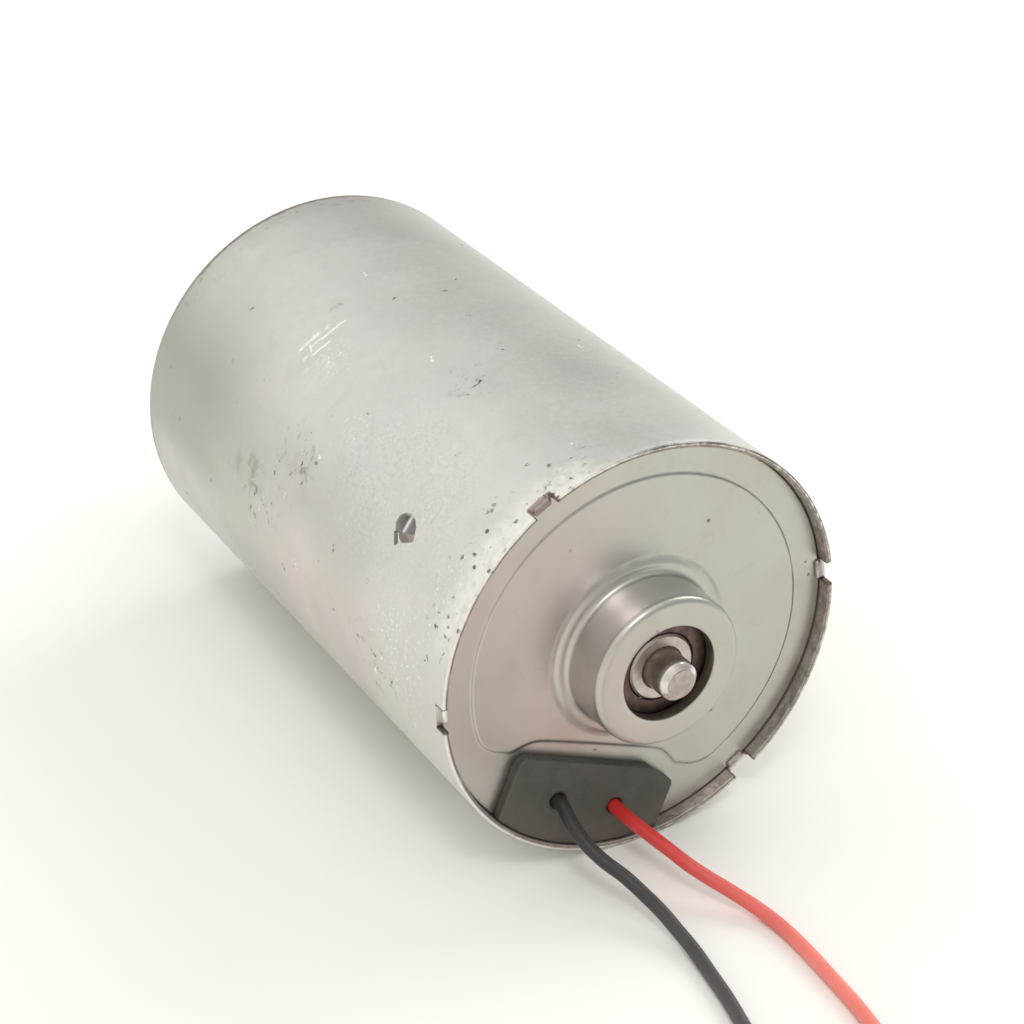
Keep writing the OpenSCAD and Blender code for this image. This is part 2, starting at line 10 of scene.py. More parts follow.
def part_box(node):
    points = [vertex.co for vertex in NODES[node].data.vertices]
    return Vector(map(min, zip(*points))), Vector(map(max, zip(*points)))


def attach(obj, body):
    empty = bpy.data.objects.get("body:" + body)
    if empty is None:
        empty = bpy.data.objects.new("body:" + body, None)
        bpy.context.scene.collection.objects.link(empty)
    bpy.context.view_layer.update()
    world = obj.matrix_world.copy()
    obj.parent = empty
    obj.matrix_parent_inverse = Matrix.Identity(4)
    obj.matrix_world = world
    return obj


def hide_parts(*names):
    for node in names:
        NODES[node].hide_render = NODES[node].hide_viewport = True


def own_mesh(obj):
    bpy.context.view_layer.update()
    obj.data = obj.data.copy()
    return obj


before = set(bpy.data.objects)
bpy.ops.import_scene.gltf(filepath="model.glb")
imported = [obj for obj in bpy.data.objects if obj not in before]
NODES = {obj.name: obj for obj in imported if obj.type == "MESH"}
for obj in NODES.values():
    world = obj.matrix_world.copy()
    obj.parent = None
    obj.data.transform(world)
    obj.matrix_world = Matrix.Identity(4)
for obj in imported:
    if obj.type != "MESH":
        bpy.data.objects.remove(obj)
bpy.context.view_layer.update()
MM = 0.001

# ---------- main sizes, as in the CAD ----------
CAN_R = 31.5
INNER_R = 29.5
LIP_R = 30.7
LIP_FOOT_Y = -97.6
RIM_Y = -100
PLATE_Y = -97.8
PLATE_BACK_Y = -96.2
PANEL_STEP = 0.27
PANEL_R = 26.1
FLOOR_Z = -31.5
CRIMPS = (6.5, 120.5, 182, 305)
CRIMP_HALF_W = 1.8
NOTCH_Y = -98
HOLE_CIRCLE_R = 24
LEAD_ANGLE = 248
LEAD_R = 1
BLACK_EXIT = (-13.5, -20.2)
RED_EXIT = (-4.2, -24.4)

# ---------- sizes that only the looks have ----------
WINDOWS = (33.5, 146.5, 213.5, 326.5)
WINDOW_Y = -80
WINDOW_CREASE_Y = -78.75
TONGUE_T = 0.9
# radii between which the windows are cut
CUT_FROM_R = 27
CUT_TO_R = 33.5
# middle of the lip's end face
LIP_LINE_R = 30.95
THREAD_TURNS = 6
THREAD_PITCH = 0.8
RING_EDGE = 0.3
GROOVE_HALF = 1
GROOVE_DEPTH = 0.35
CLIP_R = 6.35
CLIP_LUGS = (90, 222, 318)
FLOOR_HALF = 3000
# steps round a circle
PLATE_COLUMNS = 512
SHELL_STEPS = 288
RING_SIDES = 128
HOLE_SIDES = 40
# vertices closer than this are one
MERGE = 0.002


# ---------- camera ----------
def add_camera():
    data = bpy.data.cameras.new("camera")
    data.lens = 87.97
    data.sensor_width = 36
    data.clip_start = 0.01
    data.clip_end = 20
    camera = bpy.data.objects.new("camera", data)
    bpy.context.scene.collection.objects.link(camera)
    camera.location = Vector((-159.6, -342, 184.4)) * MM
    look = Vector((0.4333, 0.7569, -0.4892))
    camera.rotation_euler = look.to_track_quat("-Z", "Y").to_euler()
    bpy.context.scene.camera = camera


# ---------- leads ----------
BLACK_ROUTE = [
    (-13.5, -99.5, -20.2), (-13.5, -100.9, -20.2), (-13.7, -103.7, -21.4),
    (-13.3, -107, -23), (-12.1, -109.9, -24.5), (-10.5, -112.4, -25.9),
    (-9.3, -115.1, -27.3), (-8.4, -118.6, -28.5), (-8, -122, -29.5),
    (-7.9, -126, -30.2), (-8.5, -131, -30.5), (-9.3, -136, -30.5), (-10.4, -141, -30.5),
    (-11.8, -147.5, -30.5), (-13.2, -154, -30.5), (-14.4, -161, -30.5),
    (-15.4, -168, -30.4), (-16, -176, -30.1), (-16.2, -184, -29.9)]
RED_ROUTE = [
    (-4.2, -99.5, -24.4), (-4.2, -100.9, -24.4), (-4, -104, -24.4),
    (-3.1, -107.3, -25), (-2, -110.7, -25.8),
    (-0.8, -113.7, -26.8), (0.7, -116.3, -27.8), (2.3, -119, -28.7), (4, -122.2, -29.7),
    (5, -125.1, -30.3), (5.4, -128.4, -30.5), (5.4, -132.2, -30.5), (5.2, -136, -30.5),
    (4.9, -140.2, -30.5), (4.6, -144.2, -30.5), (3.9, -149, -30.3), (2.7, -153.5, -29.8),
    (0.6, -157.5, -29.2), (-2.2, -161, -28.5), (-5.4, -164.5, -27.9), (-9, -169, -27.9),
    (-12.2, -172.8, -27.9)]
COIL = (2, -184)
TAIL_R = 9
TAIL_START_R = 14.6
TIP_LEN = 7
# start angle, end angle with its whole turns, radius at the start, height of the centreline
BLACK_COIL = (180, 331 + 360, 18.2, -29.9)
RED_COIL = (141.7, 318 + 360, 18.09, -27.9)


def catmull(points, steps=5):
    """A smooth line through the points, with several steps to each stretch."""
    ext = [2 * points[0] - points[1]] + points + [2 * points[-1] - points[-2]]
    out = []
    for i in range(1, len(ext) - 2):
        a, b, c, d = ext[i - 1:i + 3]
        for k in range(steps):
            t = k / steps
            out.append(0.5 * (2 * b + (c - a) * t + (2 * a - 5 * b + 4 * c - d) * t * t
                              + (3 * b - a - 3 * c + d) * t ** 3))
    out.append(points[-1].copy())
    return out


def around_coil(angle, radius, z):
    a = math.radians(angle)
    return Vector((COIL[0] + radius * math.cos(a), COIL[1] + radius * math.sin(a), z))


def tail_point(end_angle, u, v, z):
    """A point in the coil's own frame, turned so that u runs through the tail's start."""
    a = math.radians(end_angle)
    return Vector((COIL[0] + u * math.cos(a) - v * math.sin(a),
                   COIL[1] + u * math.sin(a) + v * math.cos(a), z))


def lead_line(route, coil):
    start, end, radius, z = coil
    line = catmull([Vector(p) for p in route])
    line = [line[0] + Vector((0, 1.2, 0))] + line
    steps = int((end - start) / 7)
    for i in range(1, steps + 1):
        t = i / steps
        line.append(around_coil(start + (end - start) * t, radius + (TAIL_START_R - radius) * t, z))
    for i in range(1, 13):
        a = math.radians(90 * i / 12)
        line.append(tail_point(end, TAIL_START_R - TAIL_R + TAIL_R * math.cos(a),
                               TAIL_R * math.sin(a), z))
    return line


def curve_object(name, line, radius, resolution):
    # the points hold the radius, since a curve's bounds count it
    data = bpy.data.curves.new(name, "CURVE")
    data.dimensions = "3D"
    data.bevel_depth = 1
    data.bevel_resolution = resolution
    data.use_fill_caps = True
    spline = data.splines.new("POLY")
    spline.points.add(len(line) - 1)
    for i, p in enumerate(line):
        spline.points[i].co = (*(p * MM), 1)
        spline.points[i].radius = radius * MM
    spline.use_smooth = True
    obj = bpy.data.objects.new(name, data)
    bpy.context.scene.collection.objects.link(obj)
    return obj


# ---------- mesh helpers ----------
def mesh_piece(name, verts, faces, sharp=35):
    """A mesh object from vertices in millimetres, smooth except at edges sharper than that angle."""
    mesh = bpy.data.meshes.new(name)
    mesh.from_pydata([tuple(c * MM for c in v) for v in verts], [], faces)
    mesh.validate()
    obj = bpy.data.objects.new(name, mesh)
    bpy.context.scene.collection.objects.link(obj)
    tidy_mesh(obj, sharp)
    return obj


def tidy_mesh(obj, sharp=35):
    bm = bmesh.new()
    bm.from_mesh(obj.data)
    bmesh.ops.remove_doubles(bm, verts=bm.verts, dist=MERGE * MM)
    bmesh.ops.recalc_face_normals(bm, faces=bm.faces)
    bm.to_mesh(obj.data)
    bm.free()
    obj.data.shade_smooth()
    obj.data.set_sharp_from_angle(angle=math.radians(sharp))
    obj.data.update()


def rounded(points, closed=True, steps=4):
    """An outline of (a, b, radius) corners, each rounded to its radius."""
    out = []
    n = len(points)
    for i, (a, b, r) in enumerate(points):
        if r <= 0 or (not closed and i in (0, n - 1)):
            out.append((a, b))
            continue
        here = Vector((a, b))
        before = Vector(points[i - 1][:2]) - here
        after = Vector(points[(i + 1) % n][:2]) - here
        half = before.angle(after) / 2
        reach = min(r / math.tan(half), 0.49 * before.length, 0.49 * after.length)
        r = reach * math.tan(half)
        middle = here + (before.normalized() + after.normalized()).normalized() * (r / math.sin(half))
        p0 = here + before.normalized() * reach - middle
        p1 = here + after.normalized() * reach - middle
        turn = p0.angle_signed(p1)
        for k in range(steps + 1):
            t = -turn * k / steps
            c, s = math.cos(t), math.sin(t)
            out.append((middle.x + p0.x * c - p0.y * s, middle.y + p0.x * s + p0.y * c))
    return out


def box_outline(x0, y0, x1, y1, r=0, steps=4):
    return rounded([(x0, y0, r), (x1, y0, r), (x1, y1, r), (x0, y1, r)], steps=steps)


def polar(radius, y, angle):
    a = math.radians(angle)
    return (radius * math.cos(a), y, radius * math.sin(a))


def skinned(loops, ring=False, closed=True):
    """A skin over loops of points. A ring joins its last loop to its first; else the ends are capped."""
    n, count = len(loops[0]), len(loops)
    faces = []
    for i in range(count if ring else count - 1):
        j = (i + 1) % count
        for k in range(n if closed else n - 1):
            m = (k + 1) % n
            faces.append((i * n + k, i * n + m, j * n + m, j * n + k))
    if closed and not ring:
        faces += [tuple(range(n)), tuple(count * n - 1 - k for k in range(n))]
    return [v for loop in loops for v in loop], faces


def revolve(profile, segments=192, closed=True, at=(0, 0)):
    """Vertices and faces of a profile of (radius, y) turned about an axis along the shaft's direction."""
    loops = []
    for i in range(segments):
        loop = [polar(max(r, 1e-4), y, 360 * i / segments) for r, y in profile]
        loops.append([(x + at[0], y, z + at[1]) for x, y, z in loop])
    return skinned(loops, ring=True, closed=closed)


def joined(*parts):
    verts, faces = [], []
    for v, f in parts:
        base = len(verts)
        verts += v
        faces += [tuple(k + base for k in face) for face in f]
    return verts, faces


def cut(obj, cutter, operation="DIFFERENCE"):
    """Cuts obj by another object, which is then removed."""
    mod = obj.modifiers.new("cut", "BOOLEAN")
    mod.operation = operation
    mod.object = cutter
    mod.solver = "EXACT"
    apply_modifiers(obj)
    bpy.data.objects.remove(cutter)


def apply_modifiers(obj):
    bpy.context.view_layer.update()
    graph = bpy.context.evaluated_depsgraph_get()
    mesh = bpy.data.meshes.new_from_object(obj.evaluated_get(graph))
    old = obj.data
    obj.modifiers.clear()
    obj.data = mesh
    bpy.data.meshes.remove(old)


def bevel(obj, width, segments=2, angle=40):
    mod = obj.modifiers.new("bevel", "BEVEL")
    mod.width = width * MM
    mod.segments = segments
    mod.limit_method = "ANGLE"
    mod.angle_limit = math.radians(angle)
    apply_modifiers(obj)


def prism(outline, frame_of, low, high):
    """A prism on an outline of (u, v), placed by frame_of(u, v, height)."""
    n = len(outline)
    verts = [frame_of(u, v, low) for u, v in outline] + [frame_of(u, v, high) for u, v in outline]
    faces = [(i, (i + 1) % n, n + (i + 1) % n, n + i) for i in range(n)]
    faces += [tuple(range(n - 1, -1, -1)), tuple(range(n, 2 * n))]
    return verts, faces


def noise_at(*place):
    return noise.noise(Vector(place))


def apart(a, b):
    """How far apart two angles are, in degrees."""
    return abs((a - b + 180) % 360 - 180)


def smoothstep(low, high, value):
    t = min(max((value - low) / (high - low), 0), 1)
    return t * t * (3 - 2 * t)


# ---------- can ----------
def lip_path(column):
    """The rim of the can from the barrel round to the inside of the lip, whole or cut away at a crimp.
    column is the angle in degrees, whether the lip is left there, and how far its edge is set in."""
    angle, left, inset = column
    worn = 0.05 * noise_at(angle * 0.35, 0, 3) + 0.03 * noise_at(angle * 1.3, 5, 0)
    burr = smoothstep(6, 1, abs(angle - 63.5)) * 0.28 * noise_at(angle * 1.1, 9, 1)
    top = RIM_Y + 0.07 + worn + burr + inset
    outside = [(0, 0.25), (-0.04, 0.1), (-0.12, 0.03), (-0.22, 0)]
    inside = [(0.22, 0), (0.1, 0.04), (0.03, 0.12), (0, 0.25)]
    whole = [(CAN_R, NOTCH_Y - 0.5), *((CAN_R + r, top + y) for r, y in outside),
             *((LIP_R + r, top + y) for r, y in inside), (LIP_R, NOTCH_Y - 0.5)]
    n = len(whole)
    flat = [(CAN_R + (LIP_R - CAN_R) * k / (n - 1), NOTCH_Y) for k in range(n)]
    return whole if left else flat


def can_columns():
    """Angles round the can, with a close pair at each side of each crimp."""
    half = math.degrees(CRIMP_HALF_W / CAN_R)
    soft = math.degrees(0.12 / CAN_R)
    marks = []
    for c in CRIMPS:
        low, high = c - half, c + half
        marks += [(low - soft, True, 0), (low, True, 0.12), (low + 0.001, False, 0)]
        marks += [(high - 0.001, False, 0), (high, True, 0.12), (high + soft, True, 0)]
    columns = list(marks)
    for i in range(SHELL_STEPS):
        angle = 360 * i / SHELL_STEPS
        near = min(apart(angle, m[0]) for m in marks)
        if near >= 0.2:
            inside = any(apart(angle, c) < half for c in CRIMPS)
            columns.append((angle, not inside, 0))
    return sorted(columns, key=lambda c: c[0] % 360)


def can_shell():
    body = rounded([
        (LIP_R, LIP_FOOT_Y, 0), (LIP_R, PLATE_BACK_Y, 0.1), (INNER_R, PLATE_BACK_Y, 0.2), (INNER_R, -2, 1.2),
        (11, -2, 0.6), (11, 4.8, 0.2), (7, 4.8, 0.1), (7, 6.5, 0.25), (13, 6.5, 0.9), (13, 0, 0.7),
        (CAN_R, 0, 0.9), *((CAN_R, y, 0) for y in (-20, -40, -60, -70, -76, -84, -90, -95, LIP_FOOT_Y))],
        closed=False)
    loops = [[polar(r, y, column[0]) for r, y in body + lip_path(column)] for column in can_columns()]
    return skinned(loops, ring=True)


def crimp_tab(angle):
    """The staked piece of lip that is bent in over the end plate."""
    outline = rounded([(31.3, -97.3, 0), (31.3, -97.75, 0.25), (30.7, -98.3, 0.5), (30.3, -98.45, 0.35),
                       (29.9, -98.25, 0.2), (29.85, -97.82, 0.1), (30.5, -97.82, 0.2), (30.6, -97.3, 0)])
    columns = 22
    half = math.degrees((CRIMP_HALF_W - 0.22) / CAN_R)
    mid_r, mid_y = 30.4, -97.9
    loops = []
    for i in range(columns + 1):
        t = 2 * i / columns - 1
        shrink = 0.35 + 0.65 * math.sqrt(smoothstep(1, 0.72, abs(t)))
        wobble = 0.05 * noise_at(t * 2, angle, 0)
        loops.append([polar(mid_r + (r - mid_r) * (shrink if r < mid_r else 1) + wobble,
                            mid_y + (y - mid_y) * (shrink if y < mid_y else 1), angle + t * half)
                      for r, y in outline])
    return skinned(loops)


def on_can(angle, arc, y, radius):
    """A point at an arc length round the can from an angle, at a place along it and a radius."""
    return polar(radius, y, angle + math.degrees(arc / CAN_R))


# The lanced window: a hollow with one flat side, turned on the can, and a slit beside it.
WINDOW_TURN = math.radians(149)


def window_point(angle, u, v, radius):
    c, s = math.cos(WINDOW_TURN), math.sin(WINDOW_TURN)
    return on_can(angle, v * c + u * s, WINDOW_Y + v * s - u * c, radius)


def slit_point(angle, u, v, radius):
    return on_can(angle, 1.98 + 0.72 * v + 0.69 * u, WINDOW_Y + 0.72 - 0.69 * v + 0.72 * u, radius)


def window_outline():
    """A rounded D, with the tongue's foot standing in one corner."""
    return rounded([
        (0.2, -2.2, 0.3), (0.75, -1.7, 0.3), (1.2, -0.7, 0.25), (2.05, -0.1, 0.4), (2.1, 0.9, 0.6),
        (1.5, 1.8, 0.7), (0.2, 2.05, 0.8), (-0.9, 1.75, 0.8), (-1.9, 0.9, 0.7), (-2.4, -0.2, 0.7),
        (-2.35, -2.35, 0.4)])


def slit_outline():
    return rounded([(-0.4, -1.05, 0.15), (0.4, -1.05, 0.15), (0.4, 1.05, 0.2), (-0.4, 1.05, 0.2)])


def window_tongue(angle):
    """The tongue of a lanced window, folded into the can to stop the magnet."""
    rows, cols = 14, 16
    loops = []
    for i in range(rows + 1):
        v = -2.6 + 5.3 * i / rows
        top, under = [], []
        for k in range(cols + 1):
            u = 2.6 * (2 * k / cols - 1)
            ridge = v * math.sin(WINDOW_TURN) - u * math.cos(WINDOW_TURN) - 1.25
            depth = min(1 + 0.45 * abs(ridge), 2.3)
            top.append(window_point(angle, u, v, CAN_R - depth))
            under.append(window_point(angle, u, v, CAN_R - depth - TONGUE_T))
        loops.append(top + under[::-1])
    return skinned(loops)


def build_can():
    obj = mesh_piece("can_shell", *can_shell())
    holes = []
    for a in (45, 135, 225, 315):
        x, _, z = polar(HOLE_CIRCLE_R, 0, a)
        collar = rounded([(0, -1, 0), (4.1, -1, 0), (4.1, -2, 0), (3.5, -2.6, 0.5), (3.5, -5, 0.3),
                          (0, -5, 0)])
        collar = mesh_piece("collar", *revolve(collar, HOLE_SIDES, at=(x, z)))
        cut(obj, collar, "UNION")
        thread = [(0, 0.6), (2.6, 0.6), (2.6, 0.02), (2.15, -0.45)]
        for k in range(THREAD_TURNS):
            y = -0.55 - THREAD_PITCH * k
            thread += [(2.1, y), (2.42, y - 0.33), (2.42, y - 0.42), (2.1, y - 0.75)]
        thread += [(2.1, -5.6), (0, -5.6)]
        holes.append(revolve(thread, HOLE_SIDES, at=(x, z)))
    cut(obj, mesh_piece("holes", *joined(*holes)))
    for a in WINDOWS:
        slit = prism(slit_outline(), lambda u, v, h: slit_point(a, u, v, h), CUT_FROM_R, CUT_TO_R)
        window = prism(window_outline(), lambda u, v, h: window_point(a, u, v, h), CUT_FROM_R, CUT_TO_R)
        cut(obj, mesh_piece("slit", *slit))
        cut(obj, mesh_piece("window", *window))
    bm = bmesh.new()
    bm.from_mesh(obj.data)
    extra = joined(*[crimp_tab(a) for a in CRIMPS], *[window_tongue(a) for a in WINDOWS])
    new = [bm.verts.new(Vector(v) * MM) for v in extra[0]]
    for f in extra[1]:
        bm.faces.new([new[k] for k in f])
    bmesh.ops.recalc_face_normals(bm, faces=bm.faces)
    bm.to_mesh(obj.data)
    bm.free()
    tidy_mesh(obj, 32)
    return obj


# ---------- end plate ----------
def at_leads(t, radial, y):
    """A point by its places across and along the direction of the grommet."""
    a = math.radians(LEAD_ANGLE)
    return (radial * math.cos(a) - t * math.sin(a), y, radial * math.sin(a) + t * math.cos(a))


def from_leads(x, z):
    a = math.radians(LEAD_ANGLE)
    return z * math.cos(a) - x * math.sin(a), x * math.cos(a) + z * math.sin(a)


def outside_panel(x, z):
    """How far a point lies outside the raised panel: past its round edge, or in the grommet's recess."""
    t, radial = from_leads(x, z)
    past_round = math.hypot(x, z) - PANEL_R
    side = abs(t) - 11.6
    step = min(0.375 * (side + math.hypot(side, 1.3)), 2.3)
    past_recess = (radial - 15.35 - step) * 0.92
    blend = 1.8
    h = max(blend - abs(past_round - past_recess), 0) / blend
    return max(past_round, past_recess) + h * h * blend * 0.25


def end_plate():
    """The plate as rings of points: flange, raised panel, boss, bearing seat and back."""
    rings = [(30.6, None, -96.35), (30.6, None, -97.68), (30.48, None, -97.8)]
    flat = [30.48 - 0.42 * k for k in range(1, 8)] + [27.4 - 0.16 * k for k in range(0, 15)]
    flat += [24.9 - 0.3 * k for k in range(0, 37)]
    rings += [(r, "panel", 0) for r in flat if r > 13.9]
    boss = [(13.85, -98.15), (13.65, -98.17), (13.42, -98.25), (13.15, -98.4), (12.9, -98.5),
            (12.65, -98.55)]
    boss += [(12.4 - 0.9 * math.sin(math.radians(a)), -99.46 + 0.9 * math.cos(math.radians(a)))
             for a in range(0, 91, 15)]
    boss += [(11.5, -101), (11.49, -102.6), (11.46, -104), (11.42, -104.6)]
    boss += [(10.35 + 1.05 * math.cos(math.radians(a)), -104.97 - 1.02 * math.sin(math.radians(a)))
             for a in range(0, 90, 10)]
    boss += [(10.2, -105.99), (9, -106), (8.2, -106), (7.4, -106), (7.27, -105.96), (7.2, -105.86),
             (7.2, -104.3), (7.2, -104.2), (9.4, -104.2), (9.5, -104.1), (9.5, -98), (9.7, -97.3),
             (10.6, -97), (13, -96.9), (24, -96.9), (25, -96.75), (25.8, -96.25), (26.4, -96.2),
             (30.48, -96.2)]
    rings += [(r, None, y) for r, y in boss]
    loops = []
    for i in range(PLATE_COLUMNS):
        loop = []
        for r, kind, y in rings:
            x, _, z = polar(r, 0, 360 * i / PLATE_COLUMNS)
            if kind:
                y = PLATE_Y - PANEL_STEP * (1 - smoothstep(-0.26, 0.2, outside_panel(x, z)))
                y += 0.035 * noise_at(x * 0.09, z * 0.09, 7)
            loop.append((x, y, z))
        loops.append(loop)
    return skinned(loops, ring=True)


def build_end_plate():
    obj = mesh_piece("end_plate", *end_plate())
    neck = prism(grommet_outline(1.6, 28.6), at_leads, -100, -95)
    cut(obj, mesh_piece("neck", *neck))
    tidy_mesh(obj, 38)
    return obj


# ---------- grommet ----------
def grommet_outline(inset, arc_r):
    """Half a flat: straight sides, one small and one large corner, and an arc along the can's lip."""
    left, right, top = -13.6 + inset, 14.3 - inset, 17.6 + inset
    side = 0.1 if inset > 1 else 0.75
    start = math.degrees(math.asin(right / arc_r))
    end = math.degrees(math.asin(left / arc_r))
    corners = [(right, math.sqrt(arc_r ** 2 - right ** 2), 0.3)]
    corners += [(arc_r * math.sin(math.radians(a)), arc_r * math.cos(math.radians(a)), 0)
                for a in (start + (end - start) * k / 24 for k in range(1, 24))]
    corners += [(left, math.sqrt(arc_r ** 2 - left ** 2), 0.3), (left, top + 1.4, side),
                (left + 1.1, top, side), (9.3 - inset * 0.4, top + 0.3, side * 2), (right, top + 2.3, side)]
    return rounded(corners)


def build_grommet():
    """Moulded in one: outer flange, neck through the plate and inner flange, softened at every edge."""
    obj = mesh_piece("grommet", *prism(grommet_outline(0, 30.62), at_leads, -99.42, -97.7))
    cut(obj, mesh_piece("neck", *prism(grommet_outline(1.6, 28.6), at_leads, -97.9, -96)), "UNION")
    cut(obj, mesh_piece("flange", *prism(grommet_outline(0.4, 29), at_leads, -96.2, -94.7)), "UNION")
    mod = obj.modifiers.new("remesh", "REMESH")
    mod.mode = "VOXEL"
    mod.voxel_size = 0.19 * MM
    mod.adaptivity = 0
    apply_modifiers(obj)
    bm = bmesh.new()
    bm.from_mesh(obj.data)
    for _ in range(4):
        bmesh.ops.smooth_vert(bm, verts=bm.verts, factor=0.5,
                              use_axis_x=True, use_axis_y=True, use_axis_z=True)
    places = [from_leads(*BLACK_EXIT), from_leads(*RED_EXIT)]
    for v in bm.verts:
        y = v.co.y / MM
        if y > -98.6:
            continue
        x, z = v.co.x / MM, v.co.z / MM
        t, radial = from_leads(x, z)
        top = smoothstep(-98.7, -99.2, y)
        lift = 0.12 * (1 - (t / 15) ** 2) + 0.05 * noise_at(t * 0.35, radial * 0.35, 2)
        lift += 0.02 * noise_at(t * 1.5, radial * 1.5, 5)
        for pt, pr in places:
            d = math.hypot(t - pt, radial - pr)
            lift += 0.14 * math.exp(-((d - 1.7) / 0.5) ** 2)
            lift -= 0.7 * smoothstep(1.3, 1.02, d)
        v.co.y -= lift * top * MM
    bm.to_mesh(obj.data)
    bm.free()
    obj.data.shade_smooth()
    return obj


# ---------- bearings and shaft ----------
def bearing_sizes(node):
    """A bearing ring's radii and ends, from its CAD box."""
    low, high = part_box(node)
    return high[0] / MM, low[1] / MM, high[1] / MM


def ring_piece(name, r_in, r_out, low, high, groove_side):
    """A bearing ring: chamfered edges, and the ball groove in its outer or inner wall."""
    mid = (low + high) / 2
    groove = [(0, mid - GROOVE_HALF), (GROOVE_DEPTH, mid), (0, mid + GROOVE_HALF)]
    profile = [(r_in, low + RING_EDGE), (r_in + RING_EDGE, low), (r_out - RING_EDGE, low),
               (r_out, low + RING_EDGE)]
    if groove_side > 0:
        profile += [(r_out - depth, y) for depth, y in groove]
    profile += [(r_out, high - RING_EDGE), (r_out - RING_EDGE, high), (r_in + RING_EDGE, high),
                (r_in, high - RING_EDGE)]
    if groove_side < 0:
        profile += [(r_in + depth, y) for depth, y in reversed(groove)]
    return mesh_piece(name, *revolve(profile, RING_SIDES), sharp=22)


def build_rings():
    """Inner and outer rings and shields of both bearings."""
    out = {}
    for end in ("rear", "front"):
        outer_r, low, high = bearing_sizes(end + "_bearing_outer_ring")
        inner_r = bearing_sizes(end + "_bearing_inner_ring")[0]
        bore = 3 if end == "rear" else 4
        shield_r = bearing_sizes(end + "_bearing_shields")[0]
        shield_in = inner_r + 0.2
        out[end + "_inner"] = ring_piece(end + "_inner_race", bore, inner_r, low, high, 1)
        out[end + "_outer"] = ring_piece(end + "_outer_race", shield_r, outer_r, low, high, -1)
        parts = []
        for near, away in ((low + 0.2, 1), (high - 0.2, -1)):
            rise = 0.1 * away
            parts.append(revolve([
                (shield_in, near + 2.2 * rise), (shield_in, near + rise), (shield_in + 0.12, near),
                (shield_in + 0.5, near + 0.2 * rise), (shield_r - 0.75, near + 0.4 * rise),
                (shield_r - 0.5, near + rise), (shield_r - 0.12, near + rise), (shield_r, near + 1.4 * rise),
                (shield_r, near + 2.5 * rise)], RING_SIDES))
        out[end + "_shields"] = mesh_piece(end + "_shield_pair", *joined(*parts), sharp=28)
    return out


def build_shaft():
    """One turned part: chamfered stub, journal, core seat, clip groove and chamfered output end."""
    low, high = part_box("shaft")
    rear, front = low[1] / MM, high[1] / MM
    profile = [
        (0, rear), (2.05, rear), (2.2, rear + 0.06), (2.84, rear + 0.68), (2.95, rear + 0.95),
        (3, rear + 2), (3, -98.2), (4.35, -98.2), (4.5, -98.05), (4.5, -65.9), (4.85, -65.9),
        (5, -65.7), (5, -3.15), (4.85, -3), (4, -3), (4, 6.55), (3.94, 6.6), (3.62, 6.6),
        (3.6, 6.64), (3.6, 7.46), (3.62, 7.5), (3.94, 7.5), (4, 7.56), (4, front - 0.55),
        (3.9, front - 0.4), (3.55, front - 0.05), (3.42, front), (1.15, front), (1.05, front - 0.06),
        (0.25, front - 1.3), (0, front - 1.35)]
    return mesh_piece("shaft_turned", *revolve(profile, 96, closed=False), sharp=20)


def build_clip():
    """The retaining ring: three lugs reach into the shaft's groove, and one side is open."""
    def reach(a):
        near = min(apart(a, lug) for lug in CLIP_LUGS)
        return 3.66 + 1.25 * smoothstep(11, 17, near)
    outer = [polar(CLIP_R, 0, a)[::2] for a in range(-58, 239, 4)]
    inner = [polar(reach(a), 0, a)[::2] for a in range(238, -59, -3)]
    obj = mesh_piece("retaining_clip", *prism(outer + inner, lambda x, z, y: (x, y, z), 6.65, 7.25))
    bevel(obj, 0.08, 2, 50)
    tidy_mesh(obj, 40)
    return obj


def build_springs():
    """The two brush springs: wire coils wound at an even pitch."""
    out = []
    for name, side in (("left", -1), ("right", 1)):
        low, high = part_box(name + "_brush_spring")
        inner, outer = sorted((abs(low[0]) / MM, abs(high[0]) / MM))
        y, z = (low[1] + high[1]) / 2 / MM, (low[2] + high[2]) / 2 / MM
        wire, radius = 0.3, 2.15
        turns, per_turn, sides = 6, 24, 8
        count = int(turns * per_turn)
        line = []
        for i in range(count + 1):
            t = i / count
            a = 2 * math.pi * turns * t
            x = inner + wire + (outer - inner - 2 * wire) * t
            line.append(Vector((side * x, y + radius * math.cos(a), z + radius * math.sin(a))))
        out.append(mesh_piece(name + "_spring_coil", *tube(line, wire, sides), sharp=60))
    return out


def tube(line, radius, sides):
    """A closed tube along a line of points."""
    loops = []
    last = len(line) - 1
    for i, p in enumerate(line):
        ahead = (line[min(i + 1, last)] - line[max(i - 1, 0)]).normalized()
        side = ahead.cross(Vector((1, 0, 0)))
        side.normalize()
        other = side.cross(ahead)
        loops.append([p + side * radius * math.cos(a) + other * radius * math.sin(a)
                      for a in (2 * math.pi * k / sides for k in range(sides))])
    return skinned(loops)


# ---------- lead ends and tie ----------
def build_tip(name, coil):
    """A stripped, twisted and tinned strand: seven wires laid round each other under a skin of solder."""
    _, end, _, z = coil
    rows, sides, strands = 40, 42, 6
    loops = []
    for i in range(rows + 1):
        along = TIP_LEN * i / rows
        shape = 1 - 0.55 * smoothstep(0.93, 1, i / rows)
        loop = []
        for k in range(sides):
            a = 2 * math.pi * k / sides
            twist = a * strands + along * 1.35 * strands / 2
            solder = 0.018 * noise_at(along, math.cos(a), math.sin(a))
            r = (0.52 + 0.06 * abs(math.cos(twist / 2)) + solder) * shape
            loop.append(tail_point(end, TAIL_START_R - TAIL_R - along,
                                   TAIL_R + r * math.cos(a), z + r * math.sin(a)))
        loops.append(loop)
    return mesh_piece(name, *skinned(loops), sharp=50)


